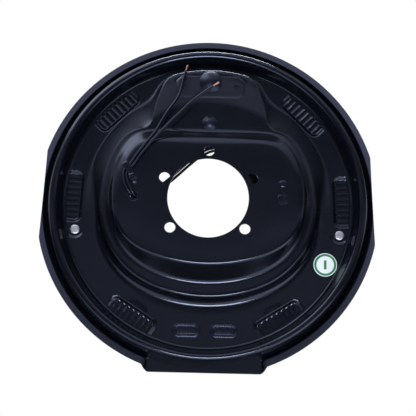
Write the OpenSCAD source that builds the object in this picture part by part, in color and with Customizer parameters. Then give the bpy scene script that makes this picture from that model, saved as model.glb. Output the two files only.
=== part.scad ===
// Electric trailer brake, left hand, for a wheel of the twelve inch class.
// The wheel's axis is Y. The back of the brake, which bolts to the axle flange, faces -Y, the shoes face
// +Y, and +Z points up to the anchor post. The origin is the centre of the hub bore on the mounting face.

/* [Backing plate] */
// Thickness of the pressed steel sheet
sheet = 3; // [2.6:0.1:3.4]
// Outer radius of the rim's lip
plate_r = 177.6; // [176:0.2:180]
// Depth of the ring that carries the shoes, behind the mounting face
ring_depth = 33; // [31:0.5:35]
// Depth of the rim's crest behind the mounting face
crest_depth = 18.3; // [17:0.1:20]
// How far the two side flats lie inside the rim's circle
flat_in = 6.6; // [5:0.1:8]
// Lean of the side flats, in degrees: they are closer together at the top
flat_lean = 2.7; // [1:0.1:5]
// How far the bottom flat lies inside the rim's circle
bottom_in = 4.6; // [3:0.1:5.4]
// Half the width of the bottom flap
flap_half = 58.5; // [54:0.5:62]

/* [Mounting face] */
// Radius of the hub bore
hub_r = 41.275; // [40:0.005:43]
// Radius of the circle that the five bolts lie on
bolt_circle_r = 49.2; // [48.5:0.1:50]
// Radius of a bolt hole
bolt_hole_r = 5.55; // [5:0.05:6]
// Angle of the two upper side bolts above the horizontal
bolt_up = 24.6; // [23:0.1:26]
// Angle of the two lower bolts below the horizontal
bolt_down = 39.9; // [38:0.1:42]
// Height of the platform's straight top edge above the axis
platform_top = 63.3; // [62:0.1:65]
// Radius of the platform's round sides
platform_side_r = 95.5; // [94:0.1:96.5]
// Radius of a lead hole
lead_hole_r = 4.2; // [4:0.1:4.4]
// Distance of the lead holes from the middle
lead_hole_x = 76; // [75:0.5:77]

/* [Shoes] */
// Radius of the outside of the linings
lining_r = 154.6; // [154:0.1:154.8]
// Thickness of a lining
lining_t = 5.4; // [5:0.1:5.6]
// Thickness of the shoe's curved table
table_t = 2.4; // [2:0.1:2.6]
// Width of the shoes across the wheel
shoe_w = 50.8; // [48:0.2:52]
// Thickness of the shoe's web
web_t = 4.8; // [4:0.1:5.4]
// Radius of the inside edge of the web
web_in = 113; // [112:0.5:114]
// Angle that the primary lining covers
primary_span = 104; // [90:1:116]
// Angle that the secondary lining covers
secondary_span = 122; // [110:1:126]

/* [Anchor and lever] */
// Height of the anchor post above the axis
anchor_z = 124.9; // [124:0.1:126]
// Radius of the anchor post
anchor_r = 9.5; // [9:0.1:10]
// Height of the lever's pivot stud above the axis
stud_z = 80.8; // [80:0.1:82]
// Radius of the pivot stud
stud_r = 6.5; // [6:0.1:7]
// Thickness of the lever arm
arm_t = 5; // [4:0.1:5.4]

/* [Magnet] */
// Length of the magnet's oval face
magnet_l = 60; // [56:1:62]
// Width of the magnet's oval face
magnet_w = 40; // [36:1:41]
// Travel of the magnet on its post
magnet_travel = 5; // [4:0.1:5]
// Radius of the post that the magnet slides on
post_r = 5; // [4.5:0.1:5.5]

/* [Adjuster] */
// Radius of the star wheel
star_r = 15; // [13:0.5:15.5]
// Number of teeth on the star wheel
star_teeth = 18; // [14:1:24]
// Radius of the adjuster screw
screw_r = 5; // [4.5:0.1:5.5]
// Radius of the adjuster nut and button
nut_r = 8; // [7.5:0.1:8.5]
// Half the distance between the two shoe ends
adjuster_half = 33; // [32:0.5:34]

/* [Clearances] */
// Radial clearance of a running fit
running = 0.05; // [0.02:0.01:0.08]
// Gap between two pieces that seat on each other
seat = 0.3; // [0.2:0.05:0.35]

/* [Hidden] */
$fn = 64;
far = 400;
through = 20;
eps = 0.01;

// The plate's outline: its forms keep their proportions when plate_r changes
grow = plate_r / 177.6;
rim_foot_r = plate_r - 26.2;
flat_dist = plate_r - flat_in;
bottom_drop = plate_r - bottom_in;
side_steps = 84;
wall_steps = 5;
ledge_top = 8;
ledge_bottom = 17;
platform_bottom = 68 * grow;
platform_arc_r = 170 * grow;
step_run = 8.6;
step_top = platform_top + step_run;
step_side_r = platform_side_r + step_run - 0.6;
step_bottom = 85 * grow;
step_arc_r = 165 * grow;
ledge_side_r = 110 * grow;
ledge_upper_r = 106 * grow;
ledge_bottom_r = 99 * grow;
ledge_arc_r = 150 * grow;
foot_side_r = 120 * grow;
foot_upper_r = 128 * grow;
foot_bottom = 106.4 * grow;
foot_arc_r = 170 * grow;
anchor_area_r = 137.5 * grow;
anchor_half = 86 * grow;
anchor_rise = 6;
anchor_lean = 0.3;
corner = 14;
ledge_corner = 24;
anchor_corner = 30;

// The rim's section: its bends, as radius and depth of their centres
foot_bend = 3;
crest_bend = 4.4;
crease_bend = 1.5;
rim_foot_c = [rim_foot_r - 2.8, ring_depth - foot_bend];
crest_c = [rim_foot_r + 7.8, crest_depth + crest_bend];
crease_c = [plate_r - 6.8, crest_depth + 21.6];
lip_end = [plate_r - 2.6, crest_depth + 13.5];
lip_edge = [0.9, 0.44];
ring_in = 95 * grow;

// The bottom flap, with its corners
flap_depth = ring_depth + 5.4;
flap_r = rim_foot_r + 15.2;
flap_corner = [4.5, 7.5];
flap_root = 140 * grow;
lip_r = rim_foot_r + 20.6;

// The six shoe pads and the round seats of the hold-down pins
pad_in = rim_foot_r - 20.4;
pad_out = rim_foot_r - 1.4;
pad_span = 20.4;
pad_angles = [2.5, 45.5, 134.5, 177.5, -57.5, -122.5];
pad_sink = 2.2;
rib_count = 8;
rib_rise = 0.8;
pin_x = 136.5;
pin_z = -29;
dimple = 1.2;
dimple_r = 9;

// The adjuster's two slots, the raised panel round the anchor, and the weld marks
slot_x = 19.2;
slot_z = -131;
slot_half = 7.5;
slot_r = 5.5;
emboss = 1.5;
emboss_drop = 5.1;
emboss_half = 36;
emboss_up = 12.8;
chamfer = 6;
mark_r = 2.6;
mark_sink = 1;
marks = [[26.6, anchor_z - 5.6, ledge_top - emboss], [14.8, anchor_z - 30.7, ledge_top]];

// The shoes, from the plate outwards
shoe_face = ring_depth + pad_sink + sheet + rib_rise + seat;
shoe_mid = shoe_face + shoe_w / 2;
shoe_span = 136;
shoe_lean = 2;
web_back = shoe_mid - web_t / 2;
web_front = shoe_mid + web_t / 2;
table_out = lining_r - lining_t;
table_in = table_out - table_t;
lining_inset = 0.7;
toe_r = 6;
toe_x = adjuster_half + toe_r;
toe_top = -60;
web_hole_r = 2.6;

// The anchor post, the lever and its stud
arm_back = shoe_mid - arm_t / 2;
arm_front = shoe_mid + arm_t / 2;
washer_t = 1.6;
collar_r = 11.4;
anchor_end = 82.5;
groove = 1;
groove_w = 1.5;
clip_ring_t = 1.2;
stud_collar = 0.9;
stud_clip_at = arm_front + 2 * seat + washer_t;
nose = [17, 103.5];
nose_r = 5;
arm_mid_r = 56.5;
arm_half = 11;
arm_centre_z = 15;
arm_boss_r = 12.5;

// The springs: wire and coil radii, coils and places
spring_wire = 1.1;
fine_wire = 0.9;
thin = 0.96;
coil_pitch = 1.9;
retract_r = 4.6;
retract_depth = 73.2;
retract_hole = [60, 102];
retract_coils = 14;
adjust_spring_r = 3.6;
adjust_hole_x = 45;
adjust_spring_z = slot_z + star_r + 6.3;
adjust_depth = web_front + seat + fine_wire;
adjust_coils = 22;

// The hold-down sets
pin_r = 2;
pin_hole_r = 2.3;
pin_head_r = 5;
pin_head_t = 1.6;
hold_hole_r = 4;
hold_spring_r = 4.6;
hold_spring_l = 9;
cup_r = 6.4;
cup_t = 1;
cup_skirt = 3.5;
cup_front = web_front + seat + hold_spring_l + cup_t;

// The magnet: an oval case round a core and coil, with a facing that rubs on the drum
magnet_x = 80;
magnet_z = -30;
magnet_turn = atan2(magnet_z, magnet_x) + 90;
case_back = arm_front + magnet_travel + 1.1;
case_l = 20.7;
case_floor = 4;
case_wall = 4.5;
case_front = case_back + case_l;
facing_at = 14;
core_r = 11.5;
post_clip_at = case_front - 8;
entry_x = 21;
entry_gap = 1.6;
entry_r = 1.9;
entry_depth = 7;

// The adjuster, along X: nut, star wheel with its screw, and button
fork = 5;
fork_l = 11;
tooth = 3;
tooth_half = 2.4;
wheel_half = 2.8;
wheel_hub = 2;
tail_l = 8;

// The slot plugs, the grommets of the lead holes, the label, and the lead clip with its rivet
plug_lip = 1.6;
plug_crown = 1.2;
grommet_r = lead_hole_r + 1.7;
grommet_wall = 0.35;
skin_from = 1.6;
skin_hole_r = 1.7;
skin_holes = [[-77.57, 0.52], [-74.37, -0.51]];
cap_r = 3.9;
label_x = 121.8;
label_z = -60.3;
label_r = 12.1;
clip_x = -75.5;
clip_z = 16.1;
clip_turn = 119;
clip_w = 6;
clip_t = 1.2;
clip_eye_r = 4.6;
rivet_r = 2.9;

// The leads: sheath, and the strands at the bare ends
lead_r = 1.4;
tip_r = 0.9;
lead_sides = 8;

// Routes of the two leads, from the magnet to their bare ends
lead_a_route = [[88.9, -10.9, 74.3], [88.9, -10.9, 69], [89.4, -9, 61], [88.9, -4, 54], [87.2, 4, 49.5],
    [79.6, 22, 46.5], [70.5, 37, 46], [60, 49, 46], [47.5, 58.5, 46], [33, 64.5, 46], [17.5, 66.5, 46],
    [3, 64.5, 45.5], [-10, 58, 45], [-21.5, 48.5, 44.5], [-32.5, 37.5, 43], [-43.5, 26.5, 40],
    [-54.5, 16.5, 34.5], [-64.5, 8.5, 27], [-72.5, 3, 18], [-76.8, 0.7, 9], [-77.6, 0.5, 2],
    [-78.2, 1.5, -2], [-80.8, 4.8, -4.3], [-84.3, 10.5, -4.6], [-86, 17.4, -3.8], [-86, 23.6, -3],
    [-83.9, 28.8, -2.6], [-79.8, 33.2, -2.6], [-73, 43.7, -2.7], [-65.6, 54, -2.8], [-59.8, 61.4, -2.8],
    [-54.3, 69.2, -2.6], [-48.5, 80.4, -2], [-42.3, 91.5, -1], [-36.3, 100.6, 0], [-32.3, 108.5, 1],
    [-30, 117.8, 2], [-28, 127.1, 2.5], [-26, 135.5, 3]];
lead_b_route = [[85.9, -9.8, 74.3], [85.9, -9.8, 69], [86.3, -8, 61], [85.8, -3.2, 54], [84, 4, 49.5],
    [76.6, 20.8, 46.5], [68, 34.7, 46], [58, 46.2, 46], [46.2, 55.4, 46], [32.5, 61.2, 46],
    [17.6, 63.2, 46], [4, 61.3, 45.5], [-8.2, 55.2, 45], [-19.2, 46.2, 44.5], [-30, 35.4, 43],
    [-41, 24.5, 40], [-52, 14.5, 34.5], [-62, 6.4, 27], [-69.8, 1, 18], [-73.7, -0.7, 9],
    [-74.4, -0.5, 2], [-75, 0.6, -2], [-77.3, 4.4, -4.3], [-80.7, 10.6, -4.6], [-82.8, 17.6, -3.8],
    [-82.8, 23.4, -3], [-80.6, 28, -2.6], [-76.6, 32, -2.6], [-70, 42, -2.7], [-62.4, 52.2, -3.2],
    [-53.3, 63.2, -4], [-45.1, 72.6, -4], [-36.8, 81.7, -3.8], [-27.8, 91.1, -3.5], [-18.8, 100.6, -3.2],
    [-7.8, 109.6, -3], [2.5, 117.6, -2.6]];
lead_a_end = [-24.4, 141.6, 3.3];
lead_b_end = [8.6, 121.8, -2.4];

// Puts a flat drawing upright: its x and y become X and Z, and its height becomes the depth along Y
module upright() {
    rotate([90, 0, 0]) mirror([0, 0, 1]) children();
}

// Rounded joins of several distances along one ray
function sum(v, i = 0) = i == len(v) ? 0 : v[i] + sum(v, i + 1);
function soft_min(v, p) = pow(sum([for (x = v) pow(x, -p)]), -1 / p);
function soft_max(v, p) = pow(sum([for (x = v) pow(x, p)]), 1 / p);
function mix(a, b, t) = a + (b - a) * t;
function ease(t) = let (u = max(0, min(1, t))) u * u * (3 - 2 * u);
function wave(t) = (1 - cos(180 * t)) / 2;

// Distance along the ray at angle a to a level line, and to an arc with its centre on the upright axis
function ray_level(a, h) = sin(a) > 0.1 ? h / sin(a) : far;
function ray_arc(a, drop, r) = let (c = r - drop) c * sin(a) + sqrt(r * r - pow(c * cos(a), 2));

// Share of the upper form against the lower one, and the ledge's depth round the platform
function upper(a) = ease((sin(a) + 0.05) / 0.4);
function from_top(a) = acos(sin(a));
function ledge_depth(a) = mix(ledge_top, ledge_bottom, ease((from_top(a) - 40) / 110));

// Outlines round the platform, from the inside out, as radii at the angle a
function platform_edge(a) = soft_min([ray_level(a, platform_top), platform_side_r,
    ray_arc(a, platform_bottom, platform_arc_r)], corner);
function step_foot(a) = soft_min([ray_level(a, step_top), step_side_r,
    ray_arc(a, step_bottom, step_arc_r)], corner);
function anchor_ray(a, half, r) =
    sin(a) > 0.6 ? soft_min([r, half / (abs(cos(a)) + anchor_lean * sin(a))], anchor_corner) : 1;
function ledge_edge(a) = soft_max([soft_min([mix(ledge_side_r, ledge_upper_r, upper(a)),
    ray_arc(a, ledge_bottom_r, ledge_arc_r)], ledge_corner),
    anchor_ray(a, anchor_half, anchor_area_r)], ledge_corner);
function ring_start(a) = soft_max([soft_min([mix(foot_side_r, foot_upper_r, upper(a)),
    ray_arc(a, foot_bottom, foot_arc_r)], ledge_corner),
    anchor_ray(a, anchor_half + anchor_rise + 2, anchor_area_r + anchor_rise)], ledge_corner);

// One section of the pressed steps at the angle a, as [radius, depth, slope] from the platform to the ring
function wall(r0, d0, r1, d1) = [for (i = [0:wall_steps]) let (t = i / wall_steps)
    [mix(r0, r1, t), mix(d0, d1, wave(t)), (d1 - d0) / (r1 - r0) * 1.57 * sin(180 * t)]];
function section(a) = let (e = platform_edge(a), s = step_foot(a), l = ledge_edge(a), f = ring_start(a),
        d = ledge_depth(a))
    concat([[e - 9, 0, 0]], wall(e - 2, 0, s + 1, d), wall(max(l - 1, s + 2), d, f + 1.5, ring_depth),
        [[f + 4, ring_depth, 0]]);
function front(q) = [q[0], q[1] + sheet * min(1.8, sqrt(1 + q[2] * q[2]))];
function spoke(a) = let (s = section(a), n = len(s))
    concat([for (q = s) [q[0], q[1]]], [for (i = [n - 1:-1:0]) front(s[i])]);

// The steps between the mounting face and the ring, as one lofted band
module steps() {
    spokes = [for (i = [0:side_steps - 1]) let (a = 360 * i / side_steps)
        [for (q = spoke(a)) [q[0] * cos(a), q[0] * sin(a), q[1]]]];
    n = len(spokes[0]);
    points = [for (s = spokes) each s];
    faces = [for (i = [0:side_steps - 1], j = [0:n - 1]) let (k = (i + 1) % side_steps, m = (j + 1) % n)
        [i * n + j, i * n + m, k * n + m, k * n + j]];
    polyhedron(points = points, faces = faces, convexity = 6);
}

function ring_outline(more) = [for (i = [0:side_steps - 1])
    let (a = 360 * i / side_steps, r = ring_start(a) + more) [r * cos(a), r * sin(a)]];
function platform_outline(less) = [for (i = [0:side_steps - 1])
    let (a = 360 * i / side_steps, r = platform_edge(a) - less) [r * cos(a), r * sin(a)]];

// A bend of the rim's section: centre, first and last angle, and radius, which may be zero or more
function bend(c, a0, a1, r, n) = [for (i = [0:n]) let (a = mix(a0, a1, i / n))
    c + r * [cos(a), sin(a)]];
function rim_path(t) = concat(bend(rim_foot_c, 90, 20, foot_bend + t, 4),
    bend(crest_c, 200, 339, crest_bend - t, 8), bend(crease_c, 159, 26, crease_bend + t, 5),
    [lip_end + t * lip_edge]);

module rim() {
    back = rim_path(0);
    face = rim_path(sheet);
    rotate_extrude($fn = 180)
        polygon(concat([[ring_in, ring_depth]], back, [for (i = [len(face) - 1:-1:0]) face[i]],
            [[ring_in, ring_depth + sheet]]));
}

module ring_sector(r0, r1, span) {
    n = 8;
    polygon(concat([for (i = [0:n]) let (a = mix(-span / 2, span / 2, i / n)) [r1 * cos(a), r1 * sin(a)]],
        [for (i = [n:-1:0]) let (a = mix(-span / 2, span / 2, i / n)) [r0 * cos(a), r0 * sin(a)]]));
}

// A pressed shoe pad: its floor is a corrugated strip a little deeper than the ring
module pad_floor() {
    width = 2 * pad_out * sin(pad_span / 2);
    pitch = width / (rib_count + 1);
    top = [for (i = [0:2 * rib_count + 2]) [-width / 2 + pitch * i / 2, i % 2 == 0 ? 0 : rib_rise]];
    intersection() {
        translate([pad_in - 3, 0, 0]) rotate([90, 0, 90]) linear_extrude(pad_out - pad_in + 6)
            polygon(concat(top, [for (i = [len(top) - 1:-1:0]) top[i] + [0, sheet]]));
        linear_extrude(3 * sheet) ring_sector(pad_in - 1.2, pad_out + 1, pad_span + 1);
    }
}

module slot_shape(more = 0) {
    union() {
        square([2 * slot_half, 2 * (slot_r + more)], center = true);
        for (s = [-1, 1]) translate([s * slot_half, 0]) circle(r = slot_r + more);
    }
}

module emboss_shape() {
    w = emboss_half;
    h = emboss_up;
    translate([0, anchor_z - emboss_drop]) polygon([[chamfer - w, -h], [w - chamfer, -h], [w, chamfer + 1 - h],
        [w, h - chamfer], [w - chamfer, h], [chamfer - w, h], [-w, h - chamfer], [-w, chamfer + 1 - h]]);
}

module backing_plate() color([0.06, 0.06, 0.075]) upright() difference() {
    union() {
        difference() {
            rim();
            translate([0, 0, ring_depth - 1]) linear_extrude(sheet + 2) polygon(ring_outline(2));
            for (a = pad_angles) rotate([0, 0, a]) translate([0, 0, ring_depth - 1]) linear_extrude(sheet + 2)
                ring_sector(pad_in, pad_out - 1, pad_span);
            for (s = [-1, 1]) translate([s * pin_x, pin_z, ring_depth - 1])
                cylinder(r = dimple_r - 1, h = sheet + 2);
            translate([-flap_half - 2, -far, flap_depth + 1.2])
                cube([2 * flap_half + 4, far - bottom_drop + 23, through]);
            linear_extrude(3 * through) lip_cut();
        }
        steps();
        linear_extrude(sheet) polygon(platform_outline(7));
        for (a = pad_angles) rotate([0, 0, a]) translate([0, 0, ring_depth + pad_sink]) pad_floor();
        for (s = [-1, 1]) translate([s * pin_x, pin_z, ring_depth + dimple]) cylinder(r = dimple_r, h = sheet);
        translate([0, 0, flap_depth]) linear_extrude(sheet) flap_shape();
        translate([0, 0, ledge_top - emboss]) linear_extrude(emboss + 0.5) emboss_shape();
    }
    translate([0, 0, -1]) cylinder(r = hub_r, h = through, $fn = 128);
    for (a = [90, bolt_up, 180 - bolt_up, -bolt_down, bolt_down - 180])
        rotate([0, 0, a]) translate([bolt_circle_r, 0, -1]) cylinder(r = bolt_hole_r, h = through);
    for (s = [-1, 1]) {
        translate([s * lead_hole_x, 0, -1]) cylinder(r = lead_hole_r, h = through);
        translate([-s * clip_x, clip_z, -1]) cylinder(r = rivet_r, h = through);
        translate([s * pin_x, pin_z, ring_depth - 1]) cylinder(r = pin_hole_r, h = through);
        translate([s * slot_x, slot_z, ring_depth - 1]) linear_extrude(through) slot_shape();
        rotate([0, 0, 90 - s * (90 - flat_lean)]) translate([flat_dist, -far / 2, 0]) cube([far, far, far]);
        for (m = marks) translate([s * m[0], m[1], m[2] - 1]) cylinder(r = mark_r, h = 1 + mark_sink);
    }
    translate([-far / 2, -bottom_drop - far, 0]) cube(far);
    translate([0, anchor_z, 0]) cylinder(r = anchor_r, h = through);
    translate([0, stud_z, 0]) cylinder(r = stud_r, h = through);
}

// The plain flap that takes the place of the lip along the bottom
module flap_shape() difference() {
    w = flap_half + flap_corner[0];
    z = flap_corner[1] - bottom_drop;
    polygon([[-flap_half, -bottom_drop], [flap_half, -bottom_drop], [w, z], [w, -flap_root],
        [-w, -flap_root], [-w, z]]);
    circle(r = flap_r, $fn = 180);
}

module lip_cut() intersection() {
    difference() { circle(r = far, $fn = 180); circle(r = lip_r, $fn = 180); }
    translate([-flap_half - 2, -far]) square([2 * flap_half + 4, far - flap_root + through]);
}

// A straight rod between two points
module rod(p, q, r) {
    v = q - p;
    translate(p) rotate([0, acos(v[2] / norm(v)), atan2(v[1], v[0])]) cylinder(r = r, h = norm(v));
}

// A turned piece along the depth, from its [radius, depth] points
module turned(points) rotate_extrude() polygon(points);

// A post with a domed head on the back of the plate, from its head's and its shank's sizes
module domed_post(z, r, head_r, head_h, under, steps) upright() translate([0, z, 0]) union() {
    dome_r = (head_r * head_r + head_h * head_h) / (2 * head_h);
    translate([0, 0, under]) intersection() {
        translate([0, 0, dome_r - head_h]) sphere(r = dome_r);
        translate([0, 0, -head_h - 1]) cylinder(r = head_r, h = head_h + 1);
    }
    turned(concat([[0, under - 0.5], [r, under - 0.5]], steps));
}

module anchor_post() color("silver") domed_post(anchor_z, anchor_r, 11.7, 5.5, ledge_top - emboss,
    [[anchor_r, ledge_top + sheet + eps], [collar_r, ledge_top + sheet + eps],
     [collar_r, web_back - seat - 0.4], [anchor_r, web_back - seat - 0.4],
     [anchor_r, anchor_end - groove_w], [anchor_r - 1, anchor_end], [0, anchor_end]]);

module washer(out, bore) difference() {
    cylinder(r = out, h = washer_t);
    translate([0, 0, -1]) cylinder(r = bore, h = through);
}

module anchor_washer() color("silver") upright() translate([0, anchor_z, web_front + seat])
    washer(17, anchor_r + 0.1);

// The end of a shank of radius r, with a groove for a clip at the depth d
function grooved_end(r, d) = [[r, d], [r - groove, d], [r - groove, d + groove_w], [r, d + groove_w],
    [r, d + 2 * groove_w], [r - 1, d + 2 * groove_w + 1], [0, d + 2 * groove_w + 1]];

module pivot_stud() color("silver") domed_post(stud_z, stud_r, 7.9, 4, ledge_top,
    concat([[stud_r, ledge_top + sheet + eps], [stud_r + stud_collar, ledge_top + sheet + eps],
     [stud_r + stud_collar, arm_back - seat], [stud_r, arm_back - seat]], grooved_end(stud_r, stud_clip_at)));

module stud_washer() color("silver") upright() translate([0, stud_z, arm_front + seat])
    washer(11, stud_r + 0.1);

// An open spring clip that sits in a groove of radius r
module groove_clip(r, out) difference() {
    cylinder(r = out, h = clip_ring_t);
    translate([0, 0, -1]) cylinder(r = r + 0.1, h = through);
    translate([-r * 0.8, -far, -1]) cube([r * 1.6, far, through]);
}

module stud_clip() color("gray") upright() translate([0, stud_z, stud_clip_at + 0.15])
    groove_clip(stud_r - groove, stud_r + 3.5);

module lever_arm() color([0.35, 0.35, 0.37]) upright() translate([0, 0, arm_back]) difference() {
    union() {
        translate([0, stud_z, 0]) cylinder(r = arm_boss_r, h = arm_t);
        translate([nose[0], nose[1], 0]) cylinder(r = nose_r, h = arm_t);
        linear_extrude(arm_t) polygon([[1, stud_z - 9], [20, stud_z - 12], [21.5, 99.5], [13.5, 106]]);
        translate([0, arm_centre_z, 0]) arc_bar(arm_mid_r - arm_half, arm_mid_r + arm_half, arm_t, 36, 88);
        linear_extrude(arm_t) polygon([[45.2, 9], [66, 12], [90.3, -26], [72, -37.5]]);
        translate([magnet_x, magnet_z, 0]) cylinder(r = arm_half, h = arm_t);
    }
    translate([0, stud_z, -1]) cylinder(r = stud_r + running, h = through);
    translate([magnet_x, magnet_z, -1]) cylinder(r = post_r + 0.02, h = through);
}

module at_magnet() upright() translate([magnet_x, magnet_z, 0]) rotate([0, 0, magnet_turn]) children();

module magnet_post() color("silver") at_magnet()
    turned(concat([[0, arm_back - 2], [8, arm_back - 2], [8, arm_back - eps], [post_r, arm_back - eps]],
        grooved_end(post_r, post_clip_at)));

// A round-wire coil: its rings are swept along a helix whose radius may change
module coil(r0, r1, l, wire, turns, steps = 10, sides = 6) {
    n = floor(turns * steps);
    points = [for (i = [0:n], j = [0:sides - 1])
        let (a = 360 * i / steps, b = 360 * j / sides, r = mix(r0, r1, i / n) + wire * cos(b))
            [r * cos(a), r * sin(a), wire * sin(b) + l * i / n]];
    faces = concat([[for (j = [0:sides - 1]) j]], [for (i = [0:n - 1], j = [0:sides - 1])
        let (k = (j + 1) % sides) [i * sides + j, (i + 1) * sides + j, (i + 1) * sides + k, i * sides + k]],
        [[for (j = [sides - 1:-1:0]) n * sides + j]]);
    polyhedron(points = points, faces = faces);
}

module magnet_spring() color("silver") at_magnet() translate([0, 0, arm_front + seat + spring_wire])
    coil(13, 9, case_back - arm_front - 2 * seat - 2 * spring_wire, spring_wire, 2.5);

module magnet_clip() color("gray") at_magnet() translate([0, 0, post_clip_at + 0.15])
    groove_clip(post_r - groove, post_r + 3);

module oval(l, w) union() {
    square([l - w, w], center = true);
    for (s = [-1, 1]) translate([s * (l - w) / 2, 0]) circle(r = w / 2);
}

module magnet_case() color([0.25, 0.25, 0.27]) at_magnet() translate([0, 0, case_back]) difference() {
    linear_extrude(case_l) oval(magnet_l, magnet_w);
    translate([0, 0, case_floor]) linear_extrude(far) oval(magnet_l - 2 * case_wall, magnet_w - 2 * case_wall);
    translate([0, 0, -1]) cylinder(r = post_r + running, h = through);
    lead_entries(-1);
}

// The two holes through which the leads reach the coil
module lead_entries(from) for (s = [-1, 1])
    translate([entry_x, entry_gap * s, from]) cylinder(r = entry_r, h = entry_depth - from);

module magnet_core() color([0.4, 0.4, 0.42]) at_magnet() difference() {
    translate([0, 0, case_back + case_floor]) cylinder(r = core_r, h = case_l - case_floor);
    cylinder(r = post_r + running, h = far);
    translate([0, 0, post_clip_at]) cylinder(r = post_r + 3.6, h = through);
}

module magnet_coil() color("peru") at_magnet() translate([0, 0, case_back + case_floor]) difference() {
    linear_extrude(facing_at - case_floor) oval(magnet_l - 2 * case_wall - 1, magnet_w - 2 * case_wall - 1);
    translate([0, 0, -1]) cylinder(r = core_r + 0.5, h = through);
    translate([0, 0, -case_floor]) lead_entries(0);
}

module magnet_facing() color([0.2, 0.18, 0.16]) at_magnet() translate([0, 0, case_back + facing_at])
    difference() {
    linear_extrude(case_l - facing_at - 0.4)
        oval(magnet_l - 2 * case_wall - 0.4, magnet_w - 2 * case_wall - 0.4);
    translate([0, 0, -1]) cylinder(r = core_r + 0.2, h = through);
}

module arc_bar(r0, r1, l, mid, span) rotate([0, 0, mid - span / 2]) rotate_extrude(angle = span, $fn = 128)
    translate([r0, 0]) square([r1 - r0, l]);

// A shoe on the +X side: curved table and crescent web, welded into one piece
module shoe(span, mid) {
    difference() {
        union() {
            translate([0, 0, shoe_face]) arc_bar(table_in, table_out, shoe_w, mid, span);
            translate([0, 0, web_back]) linear_extrude(web_t) difference() {
                union() {
                    intersection() {
                        difference() { circle(r = table_in + 0.2, $fn = 128); circle(r = web_in, $fn = 128); }
                        translate([anchor_r - 1, -far / 2]) square([far / 2, far]);
                        polygon([[toe_x, -far], [toe_x, toe_top], [0, 0], [0, far], [far, far], [far, -far]]);
                    }
                    translate([toe_x, slot_z]) circle(r = toe_r);
                }
                translate([0, anchor_z]) circle(r = anchor_r + seat);
                translate([0, anchor_z + anchor_r]) square([2 * anchor_r + 3, far]);
            }
        }
        translate([pin_x, pin_z, 0]) cylinder(r = hold_hole_r, h = far);
        translate([retract_hole[0], retract_hole[1], 0]) cylinder(r = web_hole_r, h = far);
        translate([adjust_hole_x, adjust_spring_z, 0]) cylinder(r = web_hole_r, h = far);
    }
}

module lever_lug() translate([0, 0, web_back]) linear_extrude(web_t)
    polygon([[nose[0] + nose_r + seat, 96], [nose[0] + nose_r + seat, 112], [40, 112], [46, 106], [36, 96]]);

module primary_shoe() color([0.12, 0.12, 0.13]) upright() { shoe(shoe_span, shoe_lean); lever_lug(); }

module lining(span) translate([0, 0, shoe_face + lining_inset])
    arc_bar(table_out, lining_r, shoe_w - 2 * lining_inset, shoe_lean, span);

module primary_lining() color([0.45, 0.38, 0.33]) upright() lining(primary_span);

module secondary_shoe() color([0.12, 0.12, 0.13]) upright() mirror([1, 0, 0]) shoe(shoe_span, shoe_lean);

module secondary_lining() color([0.35, 0.3, 0.27]) upright() mirror([1, 0, 0]) lining(secondary_span);

// A close-wound pull spring along +X from the origin: its coils are one revolved row of rings
module pull_spring(l, r, wire, coils) {
    coil_l = (coils - 1) * coil_pitch * wire;
    start = (l - coil_l) / 2;
    translate([start, 0, 0]) rotate([0, 90, 0]) rotate_extrude($fn = 32)
        for (i = [0:coils - 1]) translate([r, i * coil_pitch * wire]) circle(r = wire, $fn = 14);
    for (x = [start, start + coil_l]) translate([x, 0, 0]) {
        rod([0, 0, 0], [0, 0, -r], thin * wire);
        sphere(r = wire);
    }
    rod([0, 0, 0], [start, 0, 0], thin * wire);
    rod([start + coil_l, 0, 0], [l, 0, 0], thin * wire);
}

// The end of a spring's wire that reaches through a shoe's web
module spring_hook(wire, from) {
    sphere(r = wire);
    rod([0, 0, 0], [0, 0, web_back - 2 - from], thin * wire);
}

module retract_spring() {
    v = [retract_hole[0], retract_hole[1] - anchor_z];
    loop_r = anchor_r + 0.4 + spring_wire;
    translate([0, anchor_z, retract_depth]) {
        rotate_extrude($fn = 32) translate([loop_r, 0]) circle(r = spring_wire, $fn = 14);
        rotate([0, 0, atan2(v[1], v[0])]) {
            translate([loop_r, 0, 0]) pull_spring(norm(v) - loop_r, retract_r, spring_wire, retract_coils);
            translate([norm(v), 0, 0]) spring_hook(spring_wire, retract_depth);
        }
    }
}

module retract_spring_primary() color("silver") upright() retract_spring();

module retract_spring_secondary() color("silver") upright() mirror([1, 0, 0])
    translate([0, 0, 2 * spring_wire + seat]) retract_spring();

module adjuster_spring() color("silver") upright() translate([-adjust_hole_x, adjust_spring_z, adjust_depth]) {
    pull_spring(2 * adjust_hole_x, adjust_spring_r, fine_wire, adjust_coils);
    for (x = [0, 2 * adjust_hole_x]) translate([x, 0, 0]) spring_hook(fine_wire, adjust_depth);
}

module both_sides() for (s = [-1, 1]) upright() translate([s * pin_x, pin_z, 0]) children();

module hold_down_pins() color([0.8, 0.8, 0.82]) both_sides() union() {
    under = ring_depth + dimple;
    turned([[0, under - pin_head_t], [pin_head_r - 1, under - pin_head_t], [pin_head_r, under - 1],
        [pin_head_r, under - eps], [pin_r, under - eps], [pin_r, cup_front + 3], [0, cup_front + 3]]);
    translate([0, 0, cup_front + 1.2]) cube([8, 2.4, 1.8], center = true);
}

module hold_down_springs() color("silver") both_sides() translate([0, 0, web_front + seat + fine_wire])
    coil(hold_spring_r, hold_spring_r, hold_spring_l - 2, fine_wire, 3.5);

module hold_down_cups() color([0.75, 0.72, 0.6]) both_sides()
    turned([[pin_r + seat, cup_front - cup_t], [cup_r - 0.8, cup_front - cup_t],
        [cup_r - 0.8, cup_front - cup_skirt], [cup_r, cup_front - cup_skirt], [cup_r, cup_front],
        [pin_r + seat, cup_front]]);

module along_adjuster() upright() translate([0, slot_z, shoe_mid]) rotate([0, 90, 0]) children();

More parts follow.
